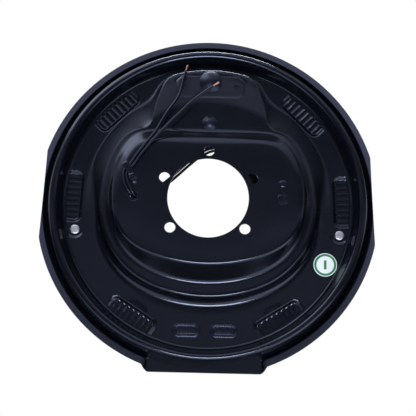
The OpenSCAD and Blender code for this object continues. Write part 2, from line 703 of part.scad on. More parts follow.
module shoe_fork(at) translate([0, 0, at]) cube([web_t + 2 * seat, far, fork_l], center = true);

module adjuster_nut() color([0.7, 0.68, 0.6]) along_adjuster() difference() {
    translate([0, 0, -adjuster_half - fork]) cylinder(r = nut_r, h = adjuster_half + fork + 8);
    translate([0, 0, fork - adjuster_half]) cylinder(r = screw_r + running, h = far);
    shoe_fork(seat - adjuster_half - fork_l / 2);
}

// The star wheel's outline: each tooth is a flat top and a flat root
function star_point(i) = let (r = i % 2 == 0 ? star_r : star_r - tooth, a = 180 * i / star_teeth)
    [for (d = [-tooth_half, tooth_half]) [r * cos(a + d), r * sin(a + d)]];

module star_wheel() color([0.75, 0.73, 0.65]) along_adjuster() union() {
    translate([0, 0, 7 - adjuster_half]) cylinder(r = screw_r, h = slot_x + adjuster_half - 8.5);
    translate([0, 0, slot_x - wheel_half]) linear_extrude(2 * wheel_half)
        polygon([for (i = [0:2 * star_teeth - 1]) each star_point(i)]);
    translate([0, 0, slot_x + wheel_hub]) cylinder(r = screw_r - 0.5, h = tail_l);
}

module adjuster_button() color([0.7, 0.68, 0.6]) along_adjuster() difference() {
    start = slot_x + wheel_half + seat;
    translate([0, 0, start]) cylinder(r = nut_r, h = adjuster_half + fork - start);
    translate([0, 0, slot_x]) cylinder(r = screw_r - 0.5 + running, h = wheel_hub + tail_l + 0.5);
    shoe_fork(adjuster_half + fork_l / 2 - seat);
}

module slot_plugs() color([0.05, 0.05, 0.05])
    for (s = [-1, 1]) upright() translate([s * slot_x, slot_z, 0]) union() {
    translate([0, 0, ring_depth - plug_crown]) linear_extrude(plug_crown) slot_shape(plug_lip);
    translate([0, 0, ring_depth - seat]) linear_extrude(sheet + plug_lip) slot_shape(-seat);
    translate([0, 0, ring_depth - plug_crown - 1]) linear_extrude(1 + seat) slot_shape(-plug_lip - 1);
}

// A rubber grommet in a lead hole, closed by a skin across its middle
module grommet() {
    r = lead_hole_r - 0.05;
    turned([[0, skin_from], [r - grommet_wall, skin_from], [r - grommet_wall, -0.5], [r, -0.9],
        [grommet_r - 0.5, -0.9], [grommet_r, -0.5], [grommet_r, -eps], [r, -eps], [r, sheet + eps],
        [r + 0.8, sheet + eps], [r + 0.4, sheet + 1.2], [0, sheet + 1.2]]);
}

// The left grommet's skin is pierced by the two leads, the right one's is whole
module lead_grommets() color([0.05, 0.05, 0.05]) upright() {
    translate([lead_hole_x, 0, 0]) grommet();
    difference() {
        translate([-lead_hole_x, 0, 0]) grommet();
        for (h = skin_holes) translate([h[0], h[1], 0]) cylinder(r = skin_hole_r, h = through);
    }
}

module clip_hole_plug() color([0.05, 0.05, 0.05]) upright() translate([-clip_x, clip_z, 0])
    turned([[0, -1.1], [cap_r - 1.4, -0.9], [cap_r, -0.3], [cap_r, -eps], [rivet_r - 0.1, -eps],
        [rivet_r - 0.1, sheet + eps], [rivet_r + 0.6, sheet + eps], [rivet_r, sheet + 1.2], [0, sheet + 1.2]]);

module at_clip() upright() translate([clip_x, clip_z, 0]) rotate([0, 0, clip_turn]) mirror([0, 0, 1])
    children();

// The strap's side view: its foot on the plate, the arch over both leads, and the lip at its free end
clip_side = [[clip_eye_r, 0], [5.8, 0], [6.2, 4.2], [7, 4.9], [18.9, 4.9], [19.6, 4.3], [19.6, 1], [20.8, 1],
    [20.8, 5], [19.4, 6.1], [6.6, 6.1], [5.2, 5.2], [4.9, clip_t], [clip_eye_r, clip_t]];

module wire_clip() color([0.08, 0.08, 0.09]) at_clip() difference() {
    union() {
        cylinder(r = clip_eye_r, h = clip_t);
        translate([0, -clip_w / 2, 0]) cube([clip_eye_r + 1, clip_w, clip_t]);
        translate([0, clip_w / 2, 0]) rotate([90, 0, 0]) linear_extrude(clip_w) polygon(clip_side);
    }
    translate([0, 0, -1]) cylinder(r = rivet_r + 0.1, h = through);
}

module clip_rivet() color("gray") at_clip()
    turned([[0, clip_t + 1.4], [2, clip_t + 1.2], [4, clip_t + eps], [rivet_r, clip_t + eps],
        [rivet_r, -sheet - eps], [4, -sheet - eps], [3, -sheet - 1.5], [0, -sheet - 1.5]]);

module label_disc() color("white") upright() translate([label_x, label_z, ring_depth - 0.3])
    cylinder(r = label_r, h = 0.3 - eps);

// A lead swept along its own route points, given as X, Z and depth
function unit(v) = v / norm(v);
module lead(route, r) {
    n = len(route);
    sides = lead_sides;
    ways = [for (i = [0:n - 1]) unit(route[min(i + 1, n - 1)] - route[max(i - 1, 0)])];
    side = [for (w = ways) unit(cross(w, [0.55, -0.6, 0.58]))];
    points = [for (i = [0:n - 1], j = [0:sides - 1])
        let (b = 360 * j / sides, u = side[i], v = cross(ways[i], u)) route[i] + r * (cos(b) * u + sin(b) * v)];
    faces = concat([[for (j = [0:sides - 1]) j]], [for (i = [0:n - 2], j = [0:sides - 1])
        let (k = (j + 1) % sides) [i * sides + j, (i + 1) * sides + j, (i + 1) * sides + k, i * sides + k]],
        [[for (j = [sides - 1:-1:0]) (n - 1) * sides + j]]);
    polyhedron(points = points, faces = faces);
}

module lead_a() color([0.04, 0.04, 0.04]) upright() lead(lead_a_route, lead_r);
module lead_b() color([0.04, 0.04, 0.04]) upright() lead(lead_b_route, lead_r);
module strands(route, tip) let (q = route[len(route) - 1]) rod(q + 0.2 * unit(tip - q), tip, tip_r);
module lead_a_strands() color("orange") upright() strands(lead_a_route, lead_a_end);
module lead_b_strands() color("orange") upright() strands(lead_b_route, lead_b_end);

backing_plate();
anchor_post();
anchor_washer();
pivot_stud();
stud_washer();
stud_clip();
lever_arm();
magnet_post();
magnet_spring();
magnet_clip();
magnet_case();
magnet_core();
magnet_coil();
magnet_facing();
primary_shoe();
primary_lining();
secondary_shoe();
secondary_lining();
retract_spring_primary();
retract_spring_secondary();
hold_down_pins();
hold_down_springs();
hold_down_cups();
adjuster_nut();
star_wheel();
adjuster_button();
adjuster_spring();
slot_plugs();
lead_grommets();
clip_hole_plug();
wire_clip();
clip_rivet();
label_disc();
lead_a();
lead_b();
lead_a_strands();
lead_b_strands();
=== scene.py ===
# Electric trailer brake, seen from the axle side, as it is put together: the view first, then the leads, the pressed
# plate and everything that the plate carries.
import bmesh
import bpy
import math
from mathutils import Matrix, Quaternion, Vector


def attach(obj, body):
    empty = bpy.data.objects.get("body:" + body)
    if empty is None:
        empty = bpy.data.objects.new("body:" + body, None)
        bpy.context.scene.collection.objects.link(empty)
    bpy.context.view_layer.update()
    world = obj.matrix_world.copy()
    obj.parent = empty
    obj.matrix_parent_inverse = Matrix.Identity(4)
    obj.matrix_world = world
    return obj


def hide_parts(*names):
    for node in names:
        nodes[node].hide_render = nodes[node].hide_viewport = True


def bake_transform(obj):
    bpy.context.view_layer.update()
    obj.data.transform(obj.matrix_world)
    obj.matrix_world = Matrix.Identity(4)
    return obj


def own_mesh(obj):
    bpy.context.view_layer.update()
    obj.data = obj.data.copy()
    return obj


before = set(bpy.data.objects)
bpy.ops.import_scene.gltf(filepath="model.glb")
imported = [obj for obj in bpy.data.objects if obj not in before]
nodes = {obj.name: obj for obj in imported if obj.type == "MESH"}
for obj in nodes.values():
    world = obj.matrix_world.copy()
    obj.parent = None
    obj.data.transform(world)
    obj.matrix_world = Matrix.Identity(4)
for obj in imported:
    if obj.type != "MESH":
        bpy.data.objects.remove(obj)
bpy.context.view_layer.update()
scene = bpy.context.scene
scene.view_settings.view_transform = "Standard"

# ---- The view ----
# The brake is photographed from the axle side, a little below its axis, about 1.3 m away. It is white all round, with
# a wide soft ceiling, a pale table in front and below, and the dark of the room behind the camera.
MM = 0.001
eye = Vector((-0.0042, -1.2642, -0.3030))
aim = Vector((0.00015, 0, -0.01096))
camera_roll = math.radians(1.338)
camera = bpy.data.objects.new("camera", bpy.data.cameras.new("camera"))
camera.data.sensor_width = 36
camera.data.lens = 111.27
camera.location = eye
looking = (aim - eye).to_track_quat("-Z", "Y") @ Quaternion((0, 0, 1), camera_roll)
camera.rotation_euler = looking.to_euler()
scene.collection.objects.link(camera)
scene.camera = camera


def colour(hex_srgb):
    """An sRGB hex colour as the linear value that a shader takes."""
    parts = [int(hex_srgb[i:i + 2], 16) / 255 for i in (1, 3, 5)]
    return [p / 12.92 if p <= 0.04045 else ((p + 0.055) / 1.055) ** 2.4 for p in parts] + [1.0]


def add(tree, kind, inputs=None, **settings):
    """One shader node with its settings; an input is a value or a link given as (node, output name)."""
    made = tree.nodes.new(kind)
    for name, value in settings.items():
        setattr(made, name, value)
    for name, value in (inputs or {}).items():
        if isinstance(value, tuple) and isinstance(value[0], bpy.types.Node):
            tree.links.new(value[0].outputs[value[1]], made.inputs[name])
        else:
            made.inputs[name].default_value = value
    return made


# The room by height, as seen in the paint: half its brightness from straight down to straight up, in front and behind
FRONT = ((0.03, 0.02), (0.065, 0.5), (0.15, 0.85), (0.26, 0.75), (0.31, 0.2), (0.37, 0.02), (0.525, 0.02), (0.553, 0.21),
         (0.6, 0.18), (0.617, 0.05), (0.638, 0.05), (0.66, 0.09), (0.72, 0.12), (0.77, 0.5), (0.83, 0.66), (0.95, 0.66),
         (0.975, 0.06), (1.0, 0.02))
BEHIND = ((0.0, 0.02), (0.47, 0.03), (0.52, 0.3), (0.68, 0.3), (0.78, 0.06), (0.95, 0.06), (1.0, 0.5))
world = bpy.data.worlds.new("studio")
scene.world = world
world.use_nodes = True
sky = world.node_tree
sky.nodes.clear()
way = add(sky, "ShaderNodeTexCoord")
split = add(sky, "ShaderNodeSeparateXYZ", {0: (way, "Generated")})
height = add(sky, "ShaderNodeMapRange", {"Value": (split, "Z"), "From Min": -1.0, "From Max": 1.0})
halves = []
for stops in (FRONT, BEHIND):
    levels = add(sky, "ShaderNodeValToRGB", {"Fac": (height, "Result")})
    ramp = levels.color_ramp
    ramp.elements[0].position, ramp.elements[1].position = stops[0][0], stops[-1][0]
    ramp.elements[0].color = (stops[0][1], stops[0][1], stops[0][1], 1)
    ramp.elements[1].color = (stops[-1][1] * 0.76, stops[-1][1] * 0.82, stops[-1][1], 1)
    for place, grey in stops[1:-1]:
        ramp.elements.new(place).color = (grey * 0.76, grey * 0.82, grey, 1)
    halves.append(levels)
behind = add(sky, "ShaderNodeMapRange", {"Value": (split, "Y"), "From Min": -0.12, "From Max": 0.12})
room = add(sky, "ShaderNodeMix", {"Factor": (behind, "Result"), 6: (halves[0], "Color"), 7: (halves[1], "Color")},
           data_type="RGBA")
below = add(sky, "ShaderNodeMapRange", {"Value": (split, "X"), "From Min": -0.8, "From Max": 0.8, "To Min": 1.2,
                                        "To Max": 2.8})
above = add(sky, "ShaderNodeMapRange", {"Value": (split, "X"), "From Min": -0.8, "From Max": 0.8, "To Min": 3.0,
                                        "To Max": 0.9})
upwards = add(sky, "ShaderNodeMapRange", {"Value": (split, "Z"), "From Min": 0.0, "From Max": 0.4})
sideways = add(sky, "ShaderNodeMix", {"Factor": (upwards, "Result"), 2: (below, "Result"), 3: (above, "Result")})
uneven = add(sky, "ShaderNodeMix", {"Factor": 1.0, 6: (room, 2), 7: (sideways, 0)}, data_type="RGBA",
             blend_type="MULTIPLY")
seen = add(sky, "ShaderNodeLightPath")
shown = add(sky, "ShaderNodeMix", {"Factor": (seen, "Is Camera Ray"), 6: (uneven, 2), 7: (1, 1, 1, 1)}, data_type="RGBA")
backdrop = add(sky, "ShaderNodeBackground", {"Color": (shown, 2), "Strength": 1.0})
add(sky, "ShaderNodeOutputWorld", {"Surface": (backdrop, "Background")})


def soft_light(name, place, size, power, reflected):
    """A rectangular soft light that faces the brake. A light that isn't reflected only brightens matt surfaces."""
    lamp = bpy.data.lights.new(name, "AREA")
    lamp.shape = "RECTANGLE"
    lamp.size, lamp.size_y = size
    lamp.energy = power
    lamp.color = (0.82, 0.88, 1.0)
    held = bpy.data.objects.new(name, lamp)
    held.location = place
    held.rotation_euler = (-Vector(place)).to_track_quat("-Z", "Y").to_euler()
    held.visible_camera = False
    held.visible_glossy = reflected
    scene.collection.objects.link(held)


soft_light("fill_over_camera", (0.1, -1.7, 1.1), (1.6, 1.2), 14, False)
soft_light("fill_from_behind", (-0.3, 1.5, 1.2), (1.6, 1.2), 100, False)
soft_light("ceiling_strip", (0.0, 0.5, 1.4), (0.9, 0.13), 13, True)
soft_light("table_strip", (0.03, -1.16, -0.59), (0.5, 0.2), 9, True)
soft_light("left_window", (-0.85, 0.0, 1.2), (2.6, 0.9), 13, True)

floor_mesh = bmesh.new()
bmesh.ops.create_grid(floor_mesh, x_segments=1, y_segments=1, size=6)
bmesh.ops.translate(floor_mesh, vec=(0, 0, -0.62), verts=floor_mesh.verts)
floor_data = bpy.data.meshes.new("studio_floor")
floor_mesh.to_mesh(floor_data)
floor_mesh.free()
studio_floor = bpy.data.objects.new("studio_floor", floor_data)
studio_floor.visible_glossy = False
scene.collection.objects.link(studio_floor)
pale = bpy.data.materials.new("pale_table_paper")
pale.use_nodes = True
paper = pale.node_tree
paper.nodes.clear()
matt = add(paper, "ShaderNodeBsdfDiffuse", {"Color": colour("#F2F2F2")})
glow = add(paper, "ShaderNodeEmission", {"Color": (1, 1, 1, 1), "Strength": 1.0})
straight = add(paper, "ShaderNodeLightPath")
either = add(paper, "ShaderNodeMixShader", {0: (straight, "Is Camera Ray"), 1: (matt, "BSDF"), 2: (glow, "Emission")})
add(paper, "ShaderNodeOutputMaterial", {"Surface": (either, "Shader")})
floor_data.materials.append(pale)

# ---- The two leads ----
# Single-core leads, copper strands in black plastic, 2.8 mm over the sheath. They run from the magnet over the hub
# bore to the left lead hole, out under the clip and up, and their bare ends were left for the fitter to join.
route_a = [[88.9, -10.9, 74.3], [88.9, -10.9, 69], [89.4, -9, 61], [88.9, -4, 54], [87.2, 4, 49.5], [79.6, 22, 46.5],
           [70.5, 37, 46], [60, 49, 46], [47.5, 58.5, 46], [33, 64.5, 46], [17.5, 66.5, 46], [3, 64.5, 45.5],
           [-10, 58, 45], [-21.5, 48.5, 44.5], [-32.5, 37.5, 43], [-43.5, 26.5, 40], [-54.5, 16.5, 34.5],
           [-64.5, 8.5, 27], [-72.5, 3, 18], [-76.8, 0.7, 9], [-77.6, 0.5, 2], [-78.2, 1.5, -2], [-80.8, 4.8, -4.3],
           [-84.3, 10.5, -4.6], [-86, 17.4, -3.8], [-86, 23.6, -3], [-83.9, 28.8, -2.6], [-79.8, 33.2, -2.6],
           [-73, 43.7, -2.7], [-65.6, 54, -2.8], [-59.8, 61.4, -2.8], [-54.3, 69.2, -2.6], [-48.5, 80.4, -2],
           [-42.3, 91.5, -1], [-36.3, 100.6, 0], [-32.3, 108.5, 1], [-30, 117.8, 2], [-28, 127.1, 2.5],
           [-26, 135.5, 3]]
route_b = [[85.9, -9.8, 74.3], [85.9, -9.8, 69], [86.3, -8, 61], [85.8, -3.2, 54], [84, 4, 49.5], [76.6, 20.8, 46.5],
           [68, 34.7, 46], [58, 46.2, 46], [46.2, 55.4, 46], [32.5, 61.2, 46], [17.6, 63.2, 46], [4, 61.3, 45.5],
           [-8.2, 55.2, 45], [-19.2, 46.2, 44.5], [-30, 35.4, 43], [-41, 24.5, 40], [-52, 14.5, 34.5],
           [-62, 6.4, 27], [-69.8, 1, 18], [-73.7, -0.7, 9], [-74.4, -0.5, 2], [-75, 0.6, -2], [-77.3, 4.4, -4.3],
           [-80.7, 10.6, -4.6], [-82.8, 17.6, -3.8], [-82.8, 23.4, -3], [-80.6, 28, -2.6], [-76.6, 32, -2.6],
           [-70, 42, -2.7], [-62.4, 52.2, -3.2], [-53.3, 63.2, -4], [-45.1, 72.6, -4], [-36.8, 81.7, -3.8],
           [-27.8, 91.1, -3.5], [-18.8, 100.6, -3.2], [-7.8, 109.6, -3], [2.5, 117.6, -2.6]]
tips = {"lead_a": [-24.4, 141.6, 3.3], "lead_b": [8.6, 121.8, -2.4]}
lead_size = 2.8 * MM
strand_r = 0.24 * MM
strand_ring = 0.52 * MM


def in_place(point):
    """A point of the brake, as X, Z and depth in millimetres, as a place in the scene."""
    return Vector((point[0], point[2], point[1])) * MM


def swept_wire(name, points, radius, sides=12, rings=5):
    """A round wire along smooth points, made a mesh."""
    line = bpy.data.curves.new(name, "CURVE")
    line.dimensions = "3D"
    line.bevel_depth = radius
    line.bevel_resolution = sides // 4
    line.resolution_u = rings
    line.use_fill_caps = True
    spline = line.splines.new("BEZIER")
    spline.bezier_points.add(len(points) - 1)
    for knot, point in zip(spline.bezier_points, points):
        knot.co = point
        knot.handle_left_type = knot.handle_right_type = "AUTO"
    shaped = bpy.data.objects.new(name + "_line", line)
    scene.collection.objects.link(shaped)
    bpy.context.view_layer.update()
    mesh = bpy.data.meshes.new_from_object(shaped.evaluated_get(bpy.context.evaluated_depsgraph_get()))
    mesh.name = name
    bpy.data.objects.remove(shaped)
    piece = bpy.data.objects.new(name, mesh)
    scene.collection.objects.link(piece)
    mesh.shade_smooth()
    return piece


def join_in(first, other):
    """Adds the mesh of one piece to another, and removes it."""
    joined = bmesh.new()
    joined.from_mesh(first.data)
    joined.from_mesh(other.data)
    joined.to_mesh(first.data)
    joined.free()
    bpy.data.objects.remove(other)


def new_look(name):
    """An empty material with its node tree and the Object coordinates that its patterns read."""
    made = bpy.data.materials.new(name)
    made.use_nodes = True
    made.node_tree.nodes.clear()
    return made, made.node_tree, add(made.node_tree, "ShaderNodeTexCoord")


# Extruded PVC: near black with a soft sheen, and the faint waviness that the cores press through it
pvc, tree, where = new_look("extruded_pvc")
waves = add(tree, "ShaderNodeTexNoise", {"Vector": (where, "Object"), "Scale": 1 / (4 * MM), "Detail": 3.0})
lift = add(tree, "ShaderNodeBump", {"Height": (waves, "Fac"), "Strength": 0.12, "Distance": 0.2 * MM})
sheen = add(tree, "ShaderNodeMapRange", {"Value": (waves, "Fac"), "To Min": 0.3, "To Max": 0.42})
skin = add(tree, "ShaderNodeBsdfPrincipled", {"Base Color": colour("#06070B"), "Roughness": (sheen, "Result"),
                                              "IOR": 1.53, "Specular Tint": colour("#D4DCFF"), "Normal": (lift, "Normal")})
add(tree, "ShaderNodeOutputMaterial", {"Surface": (skin, "BSDF")})

# Bare copper strands, bright where they were cut and dull along the twist
bare_copper, tree, where = new_look("bare_copper_strand")
dull = add(tree, "ShaderNodeTexNoise", {"Vector": (where, "Object"), "Scale": 1 / (0.8 * MM), "Detail": 4.0})
tone = add(tree, "ShaderNodeMix", {"Factor": (dull, "Fac"), 6: colour("#C98A6E"), 7: colour("#EBC0A4")},
           data_type="RGBA")
skin = add(tree, "ShaderNodeBsdfPrincipled", {"Base Color": (tone, 2), "Metallic": 1.0, "Roughness": 0.42})
add(tree, "ShaderNodeOutputMaterial", {"Surface": (skin, "BSDF")})

for name, route in (("lead_a", route_a), ("lead_b", route_b)):
    path = [in_place(p) for p in route]
    lead = swept_wire(name + "_sheath", path, lead_size / 2)
    lead.data.materials.append(pvc)
    end, last = path[-1], in_place(tips[name])
    along = (last - end).normalized()
    across = along.orthogonal().normalized()
    strands = None
    for k in range(7):
        off = Matrix.Rotation(k * math.tau / 6, 3, along) @ across * (0 if k == 6 else strand_ring)
        turned_off = Matrix.Rotation(1.1, 3, along) @ off
        flare = turned_off * (1.5 + 0.35 * math.sin(5 * k))
        short = along * 0.5 * (k % 3) * MM
        one = swept_wire(f"{name}_strand_{k}", [end + off - along * MM, (end + last) / 2 + turned_off,
                                                last + flare - short], strand_r, 8)
        if strands is None:
            strands = one
        else:
            join_in(strands, one)
    strands.name = name + "_copper"
    strands.data.materials.append(bare_copper)
    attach(strands, "plate")
    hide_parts(name + "_strands")
    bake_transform(lead)
    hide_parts(name)

# ---- The backing plate ----
# One pressing of 3 mm steel sheet: a flat platform that bolts to the axle, two steps down to the ring that carries the
# shoes, and a channel-shaped rim. It is dipped in gloss black electrocoat after pressing.
SHEET = 3.0
RING = 33.0
PLATE_R = 177.6
FOOT_R = 151.4
HUB_R = 41.275
LEDGE_TOP, LEDGE_BOTTOM = 8.0, 17.0


def mix(a, b, t):
    return a + (b - a) * t


def ease(t):
    t = max(0.0, min(1.0, t))
    return t * t * (3 - 2 * t)


def soft_min(values, power):
    return sum(v ** -power for v in values) ** (-1 / power)


def soft_max(values, power):
    return sum(v ** power for v in values) ** (1 / power)


def to_level(a, h):
    return h / math.sin(a) if math.sin(a) > 0.1 else 400.0


def to_arc(a, drop, r):
    c = r - drop
    return c * math.sin(a) + math.sqrt(r * r - (c * math.cos(a)) ** 2)


def anchor_reach(a, half, r):
    s = math.sin(a)
    return soft_min([r, half / (abs(math.cos(a)) + 0.3 * s)], 30) if s > 0.6 else 1.0


def outlines(a):
    """Radii of the platform's edge, the first step's foot, the ledge's edge and the ring's start, and the ledge's depth."""
    s = math.sin(a)
    up = ease((s + 0.05) / 0.4)
    platform = soft_min([to_level(a, 63.3), 95.5, to_arc(a, 68, 170)], 14)
    foot = soft_min([to_level(a, 71.9), 103.5, to_arc(a, 85, 165)], 14)
    ledge = soft_max([soft_min([mix(110, 106, up), to_arc(a, 99, 150)], 24), anchor_reach(a, 86, 137.5)], 24)
    ring = soft_max([soft_min([mix(120, 128, up), to_arc(a, 106.4, 170)], 24), anchor_reach(a, 94, 143.5)], 24)
    from_top = math.degrees(math.acos(max(-1.0, min(1.0, s))))
    return platform, foot, ledge, ring, mix(LEDGE_TOP, LEDGE_BOTTOM, ease((from_top - 40) / 110))


def step_down(r0, d0, r1, d1, edge_r, fillet_r):
    """A pressed wall between two levels: a rounded edge, a straight slope and a wide fillet at its foot."""
    run, fall = r1 - r0, d1 - d0
    bends = edge_r + fillet_r
    widest = 0.97 * (run * run + fall * fall) / (2 * fall)
    if bends > widest:
        edge_r, fillet_r = edge_r * widest / bends, fillet_r * widest / bends
        bends = widest
    lean = math.asin(min(1.0, bends / math.hypot(run, fall - bends))) + math.atan2(fall - bends, run)
    line = [(r0 + edge_r * math.sin(lean * t), d0 + edge_r * (1 - math.cos(lean * t))) for t in (0, 0.25, 0.5, 0.75, 1)]
    foot = [(r1 - fillet_r * math.sin(lean * t), d1 - fillet_r * (1 - math.cos(lean * t)))
            for t in (1, 0.86, 0.72, 0.58, 0.44, 0.3, 0.15, 0)]
    return line + [((line[-1][0] + foot[0][0]) / 2, (line[-1][1] + foot[0][1]) / 2)] + foot


pad_angles = [math.radians(d) for d in (2.5, 45.5, 134.5, 177.5, -57.5, -122.5)]
pad_half = 150 * math.sin(math.radians(10.2))
PAD_MIDDLE, PAD_REACH, PAD_CORNER = 140.2, 11.0, 7.5
PAD_SINK, PAD_BORDER = 2.2, 4.0
RIB_RISE = 0.85
RIBS = 8
PIN_X, PIN_Z = 136.5, -29.0


def pressed_in(r, a):
    """How much deeper the ring is pressed: six pads with ribs across them, and two round seats for the pins."""
    for p in pad_angles:
        off = (a - p + math.pi) % math.tau - math.pi
        if abs(off) < 0.24:
            side, out = r * math.sin(off), r * math.cos(off)
            u = abs(side) - (pad_half + 1 - PAD_CORNER)
            v = abs(out - PAD_MIDDLE) - (PAD_REACH - PAD_CORNER)
            inside = PAD_CORNER - math.hypot(max(u, 0), max(v, 0)) - min(max(u, v), 0)
            rib = 0.5 + 0.5 * math.cos(math.pi * (RIBS + 1) * side / pad_half + math.pi * (RIBS + 1))
            rib = rib ** 2 * ease((inside - 2.6) / 2)
            rise = RIB_RISE * (0.4 if abs(math.sin(p)) < 0.3 else 1)
            t = max(0.0, min(1.0, inside / PAD_BORDER))
            return mix(t, ease(t), 0.4) * (PAD_SINK + rise * (1 - rib))
    seat = math.hypot(abs(r * math.cos(a)) - PIN_X, r * math.sin(a) - PIN_Z)
    return 1.2 * ease((9.6 - seat) / 2.4)


def bend(cx, cy, a0, a1, r, n):
    return [(cx + r * math.cos(math.radians(mix(a0, a1, i / n))), cy + r * math.sin(math.radians(mix(a0, a1, i / n))))
            for i in range(n + 1)]


rim_line = (bend(FOOT_R - 4.2, RING - 4.6, 90, 20, 4.6, 6) + [(152.3, 26.9), (153.4, 24.8)]
            + bend(FOOT_R + 7.8, 22.7, 200, 339, 4.4, 13) + [(164.6, 25.2), (166.2, 30.3), (167.7, 35.1)])
lip_line = [(168.4, 37.4), (168.9, 38.5), (169.6, 38.8), (170.2, 37.9), (170.4, 35.6), (170.7, 33.1), (173.4, 32.5),
            (PLATE_R - 0.45, 31.92)]
FLAP_INNER, FLAP_DEPTH, FLAP_DROP = 168.76, 38.4, 173.0
flap_turn, flap_side = 18.7, 2.1


def flap_edge(turn):
    """Radius of the flap's edge at the angle turn from straight down."""
    t = math.degrees(abs(turn))
    straight_part = FLAP_DROP / math.cos(math.radians(min(t, flap_turn + flap_side)))
    return mix(straight_part, PLATE_R - 0.6, ease((t - flap_turn + 0.5) / (flap_side + 0.5)))


def press(a):
    """The sheet's section at the angle a, as (radius, depth) from the hub bore to the edge of the rim."""
    platform, foot, ledge, ring, depth = outlines(a)
    line = [(HUB_R, 0), (HUB_R + 1.2, 0), (mix(HUB_R, platform - 8, 0.5), 0)]
    wide = ease((math.sin(a) + 0.35) / 0.6)
    end = foot + mix(2, 3.4, wide)
    line += step_down(platform - mix(2, 8, wide), 0, end, depth, mix(5, 18, wide), mix(7, 10, wide))
    gentle = ease((math.sin(a) - 0.1) / 0.35) * (1 - ease((math.sin(a) - 0.72) / 0.16))
    edge = max(mix(ledge - 1.5, end + 1, gentle), end + 1)
    line += [(mix(end, edge, t), depth) for t in (0.33, 0.66)]
    line += step_down(edge, depth, ring + 1.6, RING, 3, mix(9, 3, gentle))
    start = max(129.0, ring + 2.2)
    line += [(mix(ring + 1.6, start, 0.5), RING)]
    line += [(mix(start, FOOT_R - 4.7, i / 20), RING) for i in range(21)]
    line = [(r, d + (pressed_in(r, a) if d == RING else 0)) for r, d in line]
    turn = (a + math.pi / 2 + math.pi) % math.tau - math.pi
    flat = ease((flap_turn + flap_side - math.degrees(abs(turn))) / 1.6)
    end = []
    for i, (r, d) in enumerate(lip_line):
        out = mix(FLAP_INNER, flap_edge(turn), i / (len(lip_line) - 1))
        end.append((mix(r, out, flat), mix(d, FLAP_DEPTH, flat)))
    return line + rim_line + end


# The sheet is spun round in sectors, fine ones where a pad, a seat or the flap's end is pressed
rows = len(press(0.0))
sheet_mesh = bmesh.new()
geometry = [sheet_mesh.verts.new((40.0 + i, 0, 0)) for i in range(rows)]
geometry += [sheet_mesh.edges.new(pair) for pair in zip(geometry, geometry[1:])]
sectors = [(-17, 15.5), (32.5, 58.5), (121.5, 147.5), (164.5, 197), (224.5, 250.5), (289.5, 315.5)]
ends = [(251.2 - flap_side, 251.2 + 0.6), (288.8 - 0.6, 288.8 + flap_side)]
marks = sorted({-17.0, 343.0} | {float(m) for s in sectors for m in s} | {m for s in ends for m in s})
for low, high in zip(marks, marks[1:]):
    middle = (low + high) / 2
    fine = any(s[0] < middle < s[1] for s in sectors)
    step = 0.46 if fine else 0.4 if any(s[0] < middle < s[1] for s in ends) else 2.1
    made = bmesh.ops.spin(sheet_mesh, geom=geometry, axis=(0, -1, 0), cent=(0, 0, 0), angle=math.radians(high - low),
                          steps=max(1, round((high - low) / step)))
    geometry = made["geom_last"]
bmesh.ops.rotate(sheet_mesh, verts=sheet_mesh.verts, matrix=Matrix.Rotation(math.radians(17), 3, "Y"))
bmesh.ops.remove_doubles(sheet_mesh, verts=sheet_mesh.verts, dist=0.001)
known = {}
for v in sheet_mesh.verts:
    row = round(v.co.xz.length - 40)
    a = math.atan2(v.co.z, v.co.x)
    key = round(a, 5)
    if key not in known:
        known[key] = press(a)
    r, d = known[key][row]
    v.co = Vector((r * math.cos(a), d, r * math.sin(a))) * MM
bmesh.ops.recalc_face_normals(sheet_mesh, faces=sheet_mesh.faces)
if sum(f.normal.y * f.calc_area() for f in sheet_mesh.faces) > 0:
    bmesh.ops.reverse_faces(sheet_mesh, faces=sheet_mesh.faces)
plate_data = bpy.data.meshes.new("pressed_plate")
sheet_mesh.to_mesh(plate_data)
sheet_mesh.free()
plate = bpy.data.objects.new("pressed_plate", plate_data)
scene.collection.objects.link(plate)
wall = plate.modifiers.new("sheet", "SOLIDIFY")
wall.thickness = SHEET * MM
wall.offset = -1
wall.use_even_offset = True

# The panel raised round the anchor post, which joins the ledge
panel = bmesh.new()
PANEL_Z, PANEL_HALF, PANEL_UP, PANEL_RISE = 119.8, 36, 12.8, 1.5
outline = [(-30, -12.8), (30, -12.8), (36, -5.8), (36, 6.8), (30, 12.8), (-30, 12.8), (-36, 6.8), (-36, -5.8)]
base = panel.faces.new([panel.verts.new(Vector((x, LEDGE_TOP + 0.4, PANEL_Z + z)) * MM) for x, z in outline])
raised = bmesh.ops.extrude_face_region(panel, geom=[base])["geom"]
top = [v for v in raised if isinstance(v, bmesh.types.BMVert)]
for v in top:
    v.co.x *= (PANEL_HALF - 1.8) / PANEL_HALF
    v.co.z = (PANEL_Z + (v.co.z / MM - PANEL_Z) * (PANEL_UP - 1.8) / PANEL_UP) * MM
    v.co.y = (LEDGE_TOP - PANEL_RISE) * MM
bmesh.ops.bevel(panel, geom=[e for e in panel.edges if all(v in top for v in e.verts)], offset=1.1 * MM, segments=3,
                affect="EDGES", profile=0.5, material=-1)
bmesh.ops.recalc_face_normals(panel, faces=panel.faces)

# Punched holes: five for the axle's bolts, two for leads, two for the lead clip, two for the shoe pins, two slots, and
# the shallow marks of the welding tool; the sides are sheared off flat
punch = bmesh.new()


def punch_round(x, z, r, depth, sides=48, reach=12):
    made = bmesh.ops.create_cone(punch, cap_ends=True, segments=sides, radius1=r * MM, radius2=r * MM, depth=reach * MM)
    bmesh.ops.rotate(punch, verts=made["verts"], cent=(0, 0, 0), matrix=Matrix.Rotation(math.pi / 2, 3, "X"))
    bmesh.ops.translate(punch, verts=made["verts"], vec=Vector((x, depth, z)) * MM)
    return made["verts"]


